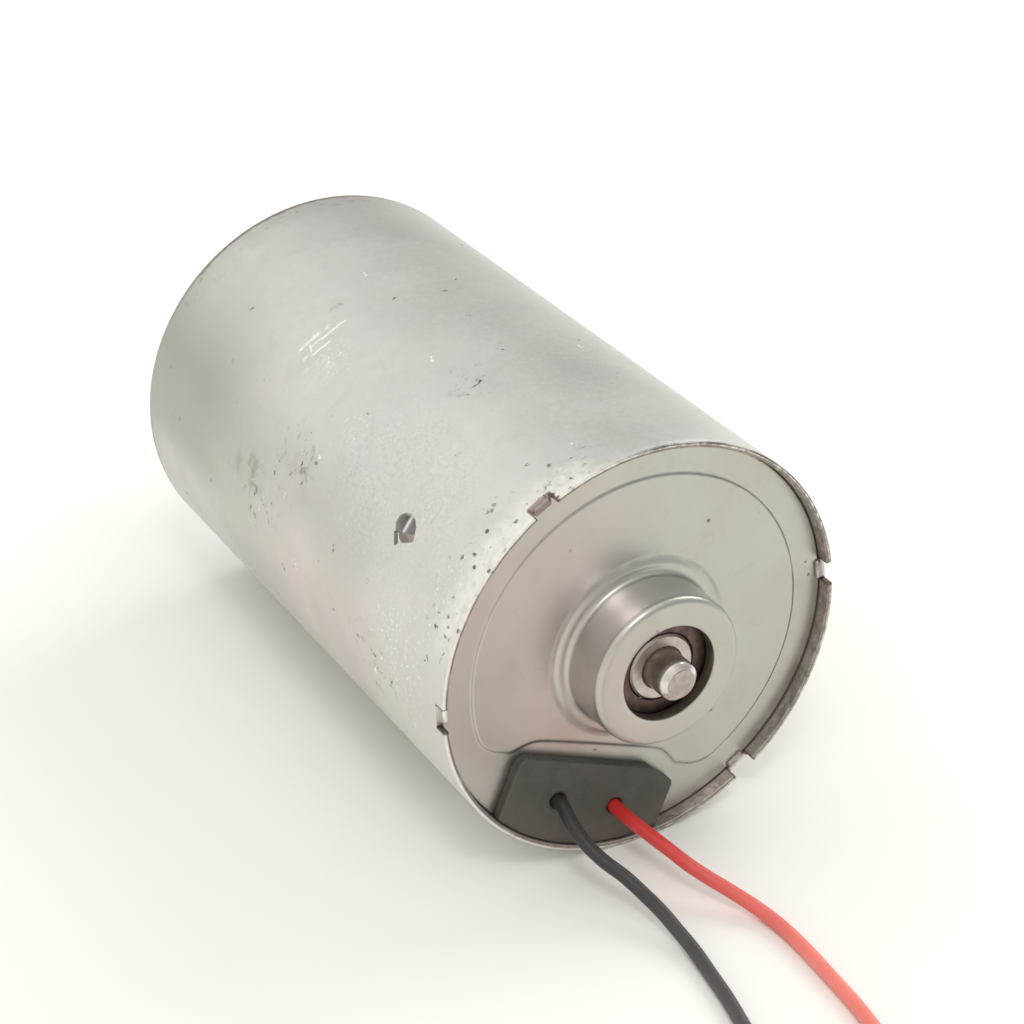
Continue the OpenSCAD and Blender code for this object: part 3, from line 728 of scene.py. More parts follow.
TIE_ANGLE = 250
TIE_W = 3
TIE_T = 0.6
COIL_IN_R = 13.2
COIL_OUT_R = 19.4


def build_tie():
    """A cable tie round the coil, with its ratchet head outside and a trimmed tail."""
    a = math.radians(TIE_ANGLE)

    def place(along, height, across):
        return (COIL[0] + along * math.cos(a) - across * math.sin(a),
                COIL[1] + along * math.sin(a) + across * math.cos(a), FLOOR_Z + height)

    low, high = COIL_IN_R - 0.8, COIL_OUT_R + 0.8
    tall = 2 * 2 + 0.2 + 2 * TIE_T
    corner = 1.7
    outer = box_outline(low, 0, high, tall, corner, 6)
    inner = box_outline(low + TIE_T, TIE_T, high - TIE_T, tall - TIE_T, corner - TIE_T, 6)
    n = len(outer)
    verts, faces = [], []
    for across in (-TIE_W / 2, TIE_W / 2):
        verts += [place(u, h, across) for u, h in outer] + [place(u, h, across) for u, h in inner]
    for i in range(n):
        j = (i + 1) % n
        faces += [(i, j, 2 * n + j, 2 * n + i), (n + i, 3 * n + i, 3 * n + j, n + j),
                  (i, n + i, n + j, j), (2 * n + i, 2 * n + j, 3 * n + j, 3 * n + i)]
    band = mesh_piece("coil_tie", verts, faces, sharp=40)
    bevel(band, 0.1, 2, 50)
    head_outline = rounded([(high - 0.1, 1.2, 0.3), (high + 2.9, 1.2, 0.9), (high + 2.9, 4.8, 0.9),
                            (high - 0.1, 4.8, 0.3)])
    head = mesh_piece("head", *prism(head_outline, place, -2.25, 2.25))
    cut(head, mesh_piece("slot", *prism(box_outline(high + 0.9, 2.5, high + 2.1, 3.5), place, -3, 3)))
    bevel(head, 0.25, 3, 50)
    tail = mesh_piece("tail", *prism(box_outline(high + 0.95, 2.65, high + 1.95, 3.25), place, -2.3, 2.3))
    cut(head, tail, "UNION")
    cut(band, head, "UNION")
    tidy_mesh(band, 40)
    return band


# ---------- materials ----------
class Value:
    """A number or a colour inside a node tree. Arithmetic on it adds nodes to the tree."""

    def __init__(self, owner, socket):
        self.owner, self.socket = owner, socket

    def __add__(self, other):
        return self.owner.math("ADD", self, other)

    def __radd__(self, other):
        return self.owner.math("ADD", other, self)

    def __sub__(self, other):
        return self.owner.math("SUBTRACT", self, other)

    def __rsub__(self, other):
        return self.owner.math("SUBTRACT", other, self)

    def __mul__(self, other):
        return self.owner.math("MULTIPLY", self, other)

    def __abs__(self):
        return self.owner.math("ABSOLUTE", self)


def highest(first, *others):
    for other in others:
        first = first.owner.math("MAXIMUM", first, other)
    return first


class Tree:
    """A node tree, built up one node at a time."""

    def __init__(self, owner):
        owner.use_nodes = True
        self.tree = owner.node_tree
        self.tree.nodes.clear()

    def add(self, kind, *inputs, **props):
        node = self.tree.nodes.new("ShaderNode" + kind)
        for key, value in props.items():
            setattr(node, key, value)
        for i, value in enumerate(inputs):
            self.put(node.inputs[i], value)
        return node

    def put(self, socket, value):
        if isinstance(value, Value):
            self.tree.links.new(value.socket, socket)
        elif value is not None:
            socket.default_value = value

    def out(self, node, name):
        return Value(self, node.outputs[name])

    def math(self, operation, a, b=None):
        return self.out(self.add("Math", a, b, operation=operation), "Value")

    def span(self, value, low, high, to_low=0, to_high=1):
        """Turns low..high of a value smoothly into another range."""
        node = self.add("MapRange", value, low, high, to_low, to_high, interpolation_type="SMOOTHSTEP")
        return self.out(node, "Result")

    def split(self, vector):
        node = self.add("SeparateXYZ", vector)
        return [self.out(node, axis) for axis in "XYZ"]


class Shader(Tree):
    """A material whose patterns are laid out in millimetres in the object's own frame."""

    def __init__(self, name, metallic=0, **fixed):
        self.material = bpy.data.materials.new(name)
        super().__init__(self.material)
        self.bsdf = self.add("BsdfPrincipled")
        self.set(Metallic=metallic, **fixed)
        self.add("OutputMaterial", self.out(self.bsdf, "BSDF"))
        scale = self.add("VectorMath", self.out(self.add("TexCoord"), "Object"), operation="SCALE")
        scale.inputs["Scale"].default_value = 1 / MM
        self.mm = self.out(scale, "Vector")

    def set(self, **sockets):
        for key, value in sockets.items():
            self.put(self.bsdf.inputs[key.replace("_", " ")], value)

    def coat(self, mask, colour):
        """Lays a colour over the colour so far, where the mask is above 0."""
        self.base = self.mix(mask, self.base, colour)

    def noise(self, scale, detail=4, rough=0.55, warp=0, vector=None):
        node = self.add("TexNoise", vector or self.mm)
        for key, value in zip(("Scale", "Detail", "Roughness", "Distortion"), (scale, detail, rough, warp)):
            node.inputs[key].default_value = value
        return self.out(node, "Fac")

    def cells(self, scale, vector=None):
        node = self.add("TexVoronoi", vector or self.mm)
        node.inputs["Scale"].default_value = scale
        return self.out(node, "Distance")

    def stretch(self, x, y, vector, turn):
        """A flat vector scaled along and across a direction, for streaks."""
        node = self.add("Mapping", vector)
        node.inputs["Rotation"].default_value = (0, 0, math.radians(turn))
        node.inputs["Scale"].default_value = (x, y, 1)
        return self.out(node, "Vector")

    def vector(self, x, y):
        return self.out(self.add("CombineXYZ", x, y, 0), "Vector")

    def mix(self, fac, a, b):
        node = self.add("Mix", data_type="RGBA", blend_type="MIX")
        a, b = ((*c, 1) if isinstance(c, tuple) else c for c in (a, b))
        for socket, value in ((0, fac), (6, a), (7, b)):
            self.put(node.inputs[socket], value)
        return Value(self, node.outputs[2])

    def bump(self, height, distance, strength):
        node = self.add("Bump")
        node.inputs["Strength"].default_value = strength
        node.inputs["Distance"].default_value = distance * MM
        self.put(node.inputs["Height"], height)
        self.set(Normal=self.out(node, "Normal"))

    def places(self):
        """x, y and z, and how far that is from the shaft's axis."""
        x, y, z = self.split(self.mm)
        return x, y, z, self.math("SQRT", x * x + z * z)

    def barrel(self):
        """Takes places on the barrel as (arc, y): the way round from the -X side in mm, and along."""
        x, self.y, z = self.split(self.mm)
        self.arc = self.math("ARCTAN2", z * -1, x * -1) * CAN_R
        return self.arc, self.y

    def turned(self, at, c, t):
        """Places on the barrel from a point, along a direction and across it."""
        da, dy = self.arc - at[0], self.y - at[1]
        return da * c + dy * t, dy * c - da * t

    def patch(self, at, size, turn=0, soft=0.6):
        """A soft oval patch on the barrel, 1 in its middle and 0 outside."""
        a = math.radians(turn)
        u, v = self.turned(at, math.cos(a), math.sin(a))
        u, v = u * (1 / size[0]), v * (1 / size[1])
        return self.span(self.math("SQRT", u * u + v * v), 1 - soft, 1, 1, 0)

    def patches(self, *spots):
        return highest(*[self.patch(*spot) for spot in spots])

    def scratch(self, start, end, width, waver):
        """A straight scratch between two places on the barrel, fading out at both ends."""
        (a0, y0), (a1, y1) = start, end
        reach = math.hypot(a1 - a0, y1 - y0)
        da, dy = self.arc + waver - (a0 + a1) / 2, self.y - waver - (y0 + y1) / 2
        c, t = (a1 - a0) / reach, (y1 - y0) / reach
        along, across = da * c + dy * t, dy * c - da * t
        return (self.span(abs(across), width, 0.35 * width)
                * self.span(abs(along), reach / 2 + 0.25, reach / 2 - 0.45))


def crimp_arc(angle):
    """A crimp's place round the barrel, as Shader.barrel() measures it."""
    return math.radians(angle - 180) * CAN_R


def shade_lip(s, x, z, radius):
    """The end of the lip is worn bright in places and brown in others. A painted highlight lightens it on
    the near side, and painted shade lines darken its outer edge and the middle of its end face.
    """
    y = s.y
    lip = s.span(y, -98, -98.3) * s.span(radius, 31.49, 31.4)
    lip_tone = s.noise(0.75, 4, 0.7, 0.5)
    # painted highlight: the near side of the lip is lighter, and the brown and the dark lines fade there
    highlight_side = s.span(x, 6, -14)
    brown = s.span(lip_tone, 0.53, 0.42, 0, 0.75) * s.span(highlight_side, 0, 1, 1, 0.35)
    brown_tone = s.mix(s.span(z, 4, -8), (0.3, 0.245, 0.215), (0.3, 0.29, 0.25))
    s.coat(lip * brown, brown_tone)
    # partly real worn brightness from the noise, partly a painted highlight on the near side
    pale_wear_and_highlight = highest(s.span(lip_tone, 0.52, 0.62, 0, 0.8), highlight_side * 0.6)
    s.coat(lip * pale_wear_and_highlight, (0.95, 0.93, 0.9))
    # painted shade: dark lines along the lip's outer edge and round the middle of its end face
    rim_shade_line = s.span(radius, 31.22, 31.34) * s.span(y, -99.5, -99.65)
    rim_shade_line = rim_shade_line * s.span(highlight_side, 0, 0.6, 1, 0)
    inner_shade_line = s.span(abs(radius - LIP_LINE_R), 0.2, 0.1) * s.span(y, -98.2, -98.35)
    rim_shade_line = highest(rim_shade_line * 0.85, inner_shade_line * 0.8)
    rim_shade_line = rim_shade_line * s.span(s.noise(0.3, 3), 0.36, 0.5, 0.45, 1)
    s.coat(rim_shade_line, (0.13, 0.11, 0.1))


def shade_openings(s, radius):
    """Cut ends of the crimps and the inside of the lip are dark and brownish. The inside of the can and its
    windows gets painted shade, with a painted highlight along the tongue's crease; one crimp tab gets
    painted shade and another a painted highlight.
    """
    arc, y = s.arc, s.y
    inside_shade = s.span(radius, 31.42, 31.2) * s.span(y, -95, -94)
    inner_lip = s.span(radius, 31.3, 30.9) * s.span(y, -97, -97.6)
    ends = [abs(abs(arc - crimp_arc(angle)) - CRIMP_HALF_W) for angle in CRIMPS]
    ends = highest(*[s.span(off, 0.35, 0.12) for off in ends]) * s.span(y, -97.7, -98)
    # in a window the folded tongue gets a painted highlight along its crease and painted shade at each side
    # of it
    crease_highlight = s.span(abs(y - WINDOW_CREASE_Y), 0.42, 0.18) * s.span(radius, 30, 30.25)
    foot = arc - (y * 0.5 + 22.2)
    hollow = s.mix(s.span(y, -79, -79.5), (0.36, 0.35, 0.31), (0.2, 0.155, 0.18))
    hollow = s.mix(crease_highlight * s.span(foot, 0, -0.2), hollow, (0.85, 0.83, 0.83))
    hollow = s.mix(s.span(foot, 0, 0.2) * s.span(foot, 3, 2.6), hollow, (0.42, 0.37, 0.35))
    # painted shade over the whole inside of the can and its windows
    s.coat(inside_shade * 0.9, hollow)
    s.coat(inner_lip * 0.6, (0.3, 0.25, 0.22))
    s.coat(ends * 0.85, (0.12, 0.08, 0.075))
    # painted shade: the crimp tab at the top faces away from the light and is darkened
    tab_shade = s.span(abs(arc - crimp_arc(CRIMPS[1])), 2, 1.7) * s.span(y, -97.5, -97.75)
    s.coat(tab_shade * 0.75, (0.27, 0.195, 0.18))
    # painted highlight: the crimp tab on the near side faces the light and is lightened
    tab_highlight = s.span(abs(arc - crimp_arc(CRIMPS[2])), 1.5, 1.2)
    tab_highlight = tab_highlight * (s.span(y, -97.9, -98.1) * s.span(radius, 30.75, 30.6))
    s.coat(tab_highlight * 0.85, (0.96, 0.93, 0.9))
    return inside_shade


def can_material():
    s = Shader("can_steel_worn", metallic=1)
    arc, y = s.barrel()
    place = s.vector(arc, y)
    cloud = s.noise(0.055, 3, 0.5)
    blotch = s.noise(0.22, 5, 0.6, 0.4)
    fine = s.noise(1.3, 6, 0.62)
    grain = s.noise(4.5, 3, 0.6)
    s.base = s.mix(s.span(cloud, 0.35, 0.65), (0.65, 0.64, 0.61), (0.72, 0.705, 0.665))
    s.coat(s.span(blotch, 0.42, 0.72, 0, 0.55), (0.58, 0.567, 0.535))
    s.coat(s.span(fine, 0.45, 0.75, 0, 0.35), (0.77, 0.76, 0.725))
    tint = s.span(s.noise(0.085, 3, 0.6, 0.8), 0.42, 0.58)
    s.coat(0.4, s.mix(tint, (0.7, 0.665, 0.675), (0.655, 0.675, 0.605)))
    # a patch on the upper left of the barrel, towards the rear end, is darker; the inside of the windows
    # gets painted shade further on
    darker_patch = s.span(arc, -23, -9) * s.span(y, -86, -68)
    darker_patch = darker_patch * s.span(s.noise(0.12, 3, 0.5), 0.25, 0.6, 0.7, 1)
    s.coat(darker_patch * 0.5, (0.44, 0.415, 0.38))
    # painted shade: a band along the top of the barrel is darker
    top = s.span(arc, -43, -56) * s.span(y, -99, -80, 0.6, 1)
    s.coat(top * 0.4, (0.46, 0.45, 0.42))
    # painted reflection: a warm, pale patch low on the near side of the barrel
    warm = s.patch((3, -62), (15, 30), 0, 0.9) * s.span(cloud, 0.3, 0.6, 0.5, 1)
    s.coat(warm * 0.5, (0.8, 0.71, 0.68))
    # scuffed stretches, where the plating is rubbed dark and pitted
    dark_zone = s.patches(
        ((-14, -49), (9, 8), 20), ((-5, -42), (8, 9)), ((-42, -93.5), (5, 3)), ((-40, -68), (5, 7), 15),
        ((3, -80), (9, 16), 0, 0.9), ((20, -40), (16, 20), 0, 0.9), ((55, -60), (14, 22), 30, 0.9),
        ((80, -25), (10, 16), 0, 0.9))
    rim_zone = s.span(y, -92.5, -97.5)
    # masks for the painted shade at the far end, laid on further down
    far_end_shade = s.span(y, -9, -1)
    far_edge_shade = s.span(y + s.noise(0.8, 3) * 0.8, -1.3, -0.5)
    wear = highest(rim_zone * s.span(s.noise(0.09, 3, 0.5), 0.4, 0.6), dark_zone)
    streak_vector = s.stretch(0.5, 0.8, place, 38)
    pits = s.noise(0.85, 4, 0.7, 0.6, streak_vector)
    pit_level = 0.765 - wear * 0.175
    pit = s.span(pits - pit_level, 0, 0.07)
    ragged = (s.noise(1.8, 3, 0.6, 0, place) - 0.5) * 0.55
    small = s.cells(0.19, place) + ragged
    dot = s.span(small, 0.075, 0.03) * s.span(s.noise(0.16, 2), 0.46, 0.54)
    rim_pit = s.cells(0.62, place) + ragged
    rim_dots = s.span(rim_pit, 0.27, 0.15) * s.span(s.noise(0.22, 3), 0.42, 0.52)
    rim_arc = s.span(arc, -44, -38) * s.span(arc, -6, -12)
    rim_dots = rim_dots * (rim_arc * s.span(y, -90, -94.5))
    smudge = s.span(s.noise(0.42, 4, 0.65, 0.3, place), 0.56, 0.7)
    smudge = smudge * highest(dark_zone * 0.55, s.span(y, -8, -1.5) * 0.7)
    s.coat(smudge, (0.33, 0.315, 0.3))
    stains = s.patches(
        ((-7.5, -38), (4.5, 7), 0, 0.7), ((-15, -52.5), (2.8, 5), 0, 0.7),
        ((-31, -38.7), (0.9, 0.45), 0, 0.9), ((-36, -33.5), (2, 1.2), 0, 0.9))
    stains = stains * s.span(s.noise(0.42, 2.5, 0.6, 0.9, place), 0.46, 0.62, 0.05, 0.55)
    s.coat(stains, (0.27, 0.265, 0.215))
    mottle = s.noise(1.7, 4, 0.7, 0.5, place)
    near = s.patch((-22, -74), (18, 25), 0, 0.8)
    near = near * s.span(s.noise(0.15, 3, 0.6, 0, place), 0.35, 0.6, 0.35, 1)
    s.coat(near * s.span(mottle, 0.5, 0.63, 0, 0.38), (0.88, 0.87, 0.8))
    s.coat(near * s.span(mottle, 0.48, 0.37, 0, 0.32), (0.45, 0.45, 0.41))
    dark = highest(pit, dot, rim_dots)
    s.coat(dark * 0.88, (0.15, 0.125, 0.12))
    # bright scratches
    rub = s.patches(
        ((-29.5, -44), (4.5, 5.5), -20, 0.7), ((-2, -87), (13, 12), 0, 0.8),
        ((-24, -58.5), (3.5, 5), 35, 0.7), ((-15, -94), (12, 5), 0, 0.8),
        ((30, -20), (14, 12), 0, 0.9), ((70, -75), (14, 14), 0, 0.9))
    hair_a = s.noise(1, 2, 0.5, 0.25, s.stretch(0.22, 3.6, place, 52))
    hair_b = s.noise(1, 2, 0.5, 0.25, s.stretch(3.2, 0.3, place, -24))
    hairs = highest(s.span(hair_a, 0.64, 0.69), s.span(hair_b, 0.66, 0.71))
    hairs = hairs * (0.06 + rub * 0.3)
    crumbs = s.span(s.noise(1.5, 4, 0.75, 0.4, place), 0.56, 0.66) * (0.04 + rub * 0.95)
    nicks = s.cells(0.12, place) + ragged
    nicks = s.span(nicks, 0.045, 0.02) * s.span(s.noise(0.21, 2), 0.48, 0.54)
    crumbs = highest(crumbs, nicks)
    bright = highest(hairs, crumbs)
    # a few long scratches close together, with short ones across them
    waver = (s.noise(0.9, 3) - 0.5) * 0.9
    marks = [s.scratch(*mark, waver) for mark in (
        ((-35.2, -37.9), (-30.5, -37.8), 0.34), ((-27.8, -38.3), (-26.4, -38), 0.42),
        ((-31.2, -36.2), (-26.9, -35.6), 0.34), ((-31.3, -39.6), (-27.7, -38.8), 0.36),
        ((-30.9, -37.6), (-28.4, -37.2), 0.28), ((-28.9, -36.5), (-28.1, -38.3), 0.3),
        ((-33, -36.2), (-32, -36.5), 0.42))]
    marks = highest(*marks) * s.span(s.noise(1.5, 3), 0.33, 0.5, 0.35, 0.9)
    bright = highest(bright, marks)
    ripple = s.span(s.noise(0.85, 4, 0.7, 1, place), 0.54, 0.64)
    ripple = ripple * (s.patch((-28, -43), (7, 6), -20, 0.8) * 0.45)
    bright = highest(bright, ripple)
    # lighter worn band along the rim
    band_edge = y + (s.noise(0.5, 4, 0.65) - 0.5) * 5
    band = s.span(band_edge, -94, -97.6) * (rim_arc * 0.85 + 0.12)
    band = band * (1 - dark)
    band = band * s.span(s.noise(0.8, 4, 0.7), 0.35, 0.6, 0.15, 0.55)
    bright = highest(bright, band)
    s.coat(bright, (0.93, 0.91, 0.86))
    x, _, z, radius = s.places()
    shade_lip(s, x, z, radius)
    inside_shade = shade_openings(s, radius)
    # painted shade: the barrel darkens towards its far end, with a dark line along the far rounded edge
    s.coat(far_end_shade * 0.25, (0.42, 0.4, 0.37))
    s.coat(far_edge_shade * 0.85, (0.2, 0.18, 0.14))
    # painted shade: the left side of the barrel is darker towards its far end
    side = s.span(arc, 4, -3) * s.span(arc, -34, -12)
    side = side * s.span(y, -45, -15)
    s.coat(side * 0.9, (0.42, 0.415, 0.37))
    rough = s.span(cloud, 0.3, 0.7, 0.4, 0.47)
    rough = rough + (fine - 0.5) * 0.22
    rough = rough + dark * 0.25
    s.set(Base_Color=s.base, Roughness=rough, Metallic=1 - highest(bright * 0.55, inside_shade * 0.7))
    height = grain * 0.14 - dark * 0.9
    height = height + (fine * 0.22 + bright * 0.25)
    height = height + s.noise(0.12, 3) * 1.8
    s.bump(height, 0.05, 0.75)
    return s.material


def plate_material():
    s = Shader("plate_steel_satin", metallic=1)
    cloud = s.noise(0.06, 3, 0.5)
    fine = s.noise(1.6, 5, 0.6)
    s.base = s.mix(s.span(cloud, 0.35, 0.65), (0.49, 0.475, 0.43), (0.525, 0.52, 0.475))
    s.coat(s.span(s.noise(0.25, 4, 0.6, 0.5), 0.5, 0.75, 0, 0.4), (0.43, 0.415, 0.38))
    ragged = s.cells(0.2) + (s.noise(2.6, 2) - 0.5) * 0.12
    specks = s.span(ragged, 0.07, 0.03) * s.span(s.noise(0.13, 2, 0.5), 0.48, 0.54)
    smear = s.span(s.noise(0.7, 5, 0.7, 0.8), 0.62, 0.76) * 0.3
    s.coat(highest(specks, smear), (0.2, 0.15, 0.12))
    x, y, z, radius = s.places()
    # painted shadow inside the boss's bore
    bore = s.span(radius, 7.34, 7.26)
    s.coat(bore * 0.75, (0.14, 0.125, 0.105))
    warm = s.span(x, 2, -16) * s.span(s.noise(0.07, 2), 0.3, 0.6, 0.4, 1)
    s.coat(warm * 0.45, (0.6, 0.53, 0.5))
    # painted reflection: the upper side wall of the boss is lighter
    side = s.span(radius, 11.75, 11.6) * s.span(y, -99.3, -99.7)
    side = side * s.span(y, -105.2, -104.6) * s.span(z, 4, 10)
    s.coat(side * 0.85, (0.8, 0.77, 0.79))
    # dirt lies in the foot of the panel's step and against the lip; the dark ring round the boss is painted
    # shade
    foot = s.span(abs(y - (PLATE_Y - 0.12)), 0.085, 0.05) * s.span(radius, 13.8, 14.2)
    foot = foot * s.span(s.noise(0.5, 3, 0.6), 0.25, 0.6, 0.55, 1)
    # painted shade: a dark ring round the base of the boss
    collar = s.span(abs(radius - 13.75), 0.45, 0.1) * s.span(s.noise(0.35, 3, 0.6), 0.3, 0.6, 0.2, 0.7)
    crack = s.span(radius + s.noise(0.9, 3) * 0.5, 30.5, 30.75)
    beads = s.span(s.noise(0.9, 3, 0.7), 0.58, 0.68, 0.55, 1)
    grime_and_shade = highest(foot * beads, collar * 0.7, crack * 0.75)
    s.coat(grime_and_shade * 0.6, (0.17, 0.145, 0.125))
    rough = s.span(cloud, 0.3, 0.7, 0.33, 0.39) + (fine - 0.5) * 0.12
    s.set(Base_Color=s.base, Roughness=rough + grime_and_shade * 0.15)
    height = fine * 0.2 + s.noise(6, 2) * 0.08
    height = height + s.noise(0.1, 2) * 2
    s.bump(height, 0.04, 0.6)
    return s.material


def turned_material(name, colour, rough=0.25, tint=None, ring_scale=3, depth=0.006):
    """Turned or ground steel: fine rings round the shaft's direction, and a slight oil film."""
    s = Shader(name, metallic=1)
    _, y, _, radius = s.places()
    rings = s.noise(ring_scale, 2, 0.5, 0, s.vector(radius, y))
    film = s.noise(0.5, 4, 0.6, 0.6)
    base = s.mix(s.span(film, 0.4, 0.65), colour, tint or tuple(0.8 * c for c in colour))
    s.set(Base_Color=base, Roughness=rough - 0.06 + film * 0.14)
    s.bump(rings + s.noise(8, 2) * 0.3, depth, 0.8)
    return s.material


def shaft_material():
    """Ground steel: brown and oily where the stub leaves the bearing, bright at both chamfered ends."""
    s = Shader("shaft_steel_oiled", metallic=1)
    _, y, _, radius = s.places()
    rings = s.noise(4, 2, 0.5, 0, s.vector(radius, y))
    film = s.noise(0.55, 4, 0.6, 0.6)
    oil = s.span(y, -108.25, -107.9) * s.span(y, -20, -40)
    ends = s.mix(s.span(film, 0.4, 0.65), (0.72, 0.69, 0.66), (0.62, 0.58, 0.54))
    face = s.span(y, -108.93, -108.98)
    rust = s.span(s.noise(0.9, 3), 0.4, 0.6)
    ends = s.mix(face, ends, s.mix(rust, (0.46, 0.4, 0.37), (0.38, 0.33, 0.3)))
    base = s.mix(oil, ends, s.mix(s.span(film, 0.4, 0.65), (0.3, 0.25, 0.2), (0.2, 0.16, 0.125)))
    s.set(Base_Color=base, Roughness=s.span(oil, 0, 1, 0.17, 0.34) + film * 0.1,
          Metallic=s.span(oil, 0, 1, 1, 0.7))
    s.bump(rings + s.noise(8, 2) * 0.3, 0.008, 0.8)
    return s.material


def metal_material(name, colour, rough=0.35, scale=1.2, depth=0.01, dark=0.75, tint=None):
    """Plain worked metal: clouded colour, uneven gloss and a fine surface."""
    s = Shader(name, metallic=1)
    cloud = s.noise(scale * 0.3, 4, 0.6, 0.4)
    fine = s.noise(scale * 3, 4, 0.6)
    base = s.mix(s.span(cloud, 0.38, 0.66), colour, tint or tuple(dark * c for c in colour))
    s.set(Base_Color=base, Roughness=rough - 0.08 + fine * 0.16)
    s.bump(fine + cloud * 2, depth, 0.7)
    return s.material


def moulded_material(name, colour, rough=0.5, scale=1, depth=0.02, spread=0.25, **fixed):
    """Moulded plastic, rubber, ceramic or carbon: even colour with faint cloud, and a fine grain."""
    s = Shader(name, **fixed)
    cloud = s.noise(scale * 0.25, 4, 0.6)
    grain = s.noise(scale * 5, 3, 0.65)
    base = s.mix(s.span(cloud, 0.35, 0.68), colour, tuple(c * (1 - spread) for c in colour))
    s.set(Base_Color=base, Roughness=rough - 0.06 + grain * 0.12)
    s.bump(grain + cloud, depth, 0.6)
    return s.material


def grommet_material():
    s = Shader("grommet_rubber_matt", IOR=1.5)
    cloud = s.noise(0.3, 4, 0.6)
    fine = s.noise(2.2, 5, 0.6)
    s.base = s.mix(s.span(cloud, 0.35, 0.65), (0.058, 0.058, 0.049), (0.076, 0.07, 0.062))
    edge = s.span(s.places()[3], 23, 30)
    s.coat(edge * 0.8, (0.098, 0.085, 0.066))
    dust = s.span(s.cells(0.5), 0.12, 0.05) * s.span(s.noise(0.5, 2), 0.55, 0.62)
    s.coat(dust * 0.5, (0.3, 0.28, 0.25))
    s.set(Base_Color=s.base, Roughness=s.span(fine, 0.3, 0.7, 0.48, 0.62))
    s.bump(fine + s.noise(9, 2) * 0.35, 0.03, 0.6)
    return s.material


def insulation_material(name, colour, worn, rough):
    """PVC insulation: satin, with faint handling marks; a painted sheen makes it paler away from the can."""
    s = Shader(name, IOR=1.5)
    cloud = s.noise(0.18, 4, 0.6)
    fine = s.noise(1.8, 5, 0.6)
    away = s.span(s.places()[1], -104, -140)
    # painted sheen: away from the can the colour turns paler, towards the second colour
    base = s.mix(away * s.span(cloud, 0.2, 0.8, 0.75, 1), colour, worn)
    s.set(Base_Color=base, Roughness=s.span(fine, 0.3, 0.7, rough - 0.05, rough + 0.1))
    s.bump(fine + cloud * 2, 0.03, 0.5)
    return s.material


def core_material():
    """Stacked laminations: a dark line between sheets along the shaft's direction."""
    s = Shader("core_steel_stacked", metallic=1)
    y = s.places()[1]
    sheet = abs(s.math("FRACT", y * 2) - 0.5)
    line = s.span(sheet, 0.4, 0.47)
    base = s.mix(line, s.mix(s.noise(0.8), (0.3, 0.3, 0.31), (0.2, 0.2, 0.21)), (0.06, 0.06, 0.06))
    s.set(Base_Color=base, Roughness=s.span(s.noise(1.5), 0.3, 0.7, 0.42, 0.58))
    s.bump(s.noise(3) * 0.2 - line, 0.05, 0.8)
    return s.material


def wound_material(name, direction, pitch):
    """Enamelled copper wire laid in rows."""
    s = Shader(name, metallic=1, Coat_Weight=0.6, Coat_Roughness=0.15)
    _, y, z, radius = s.places()
    place = {"around": radius + y, "y": y, "z": z}[direction]
    place = place + s.noise(0.5, 2) * 0.5
    wave = abs(s.math("SINE", place * (math.pi / pitch)))
    enamel = s.mix(s.noise(0.6), (0.62, 0.26, 0.11), (0.5, 0.19, 0.08))
    base = s.mix(s.span(wave, 0, 0.5), (0.16, 0.05, 0.02), enamel)
    s.set(Base_Color=base, Roughness=s.span(s.noise(2), 0.3, 0.7, 0.28, 0.42))
    s.bump(wave, pitch * 0.3, 0.9)
    return s.material


def paint(obj, material):
    obj.data.materials.clear()
    obj.data.materials.append(material)


# ---------- assembly ----------
def place_piece(obj, body, slot, material, *nodes):
    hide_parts(*nodes)
    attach(obj, body)
    paint(obj, material)


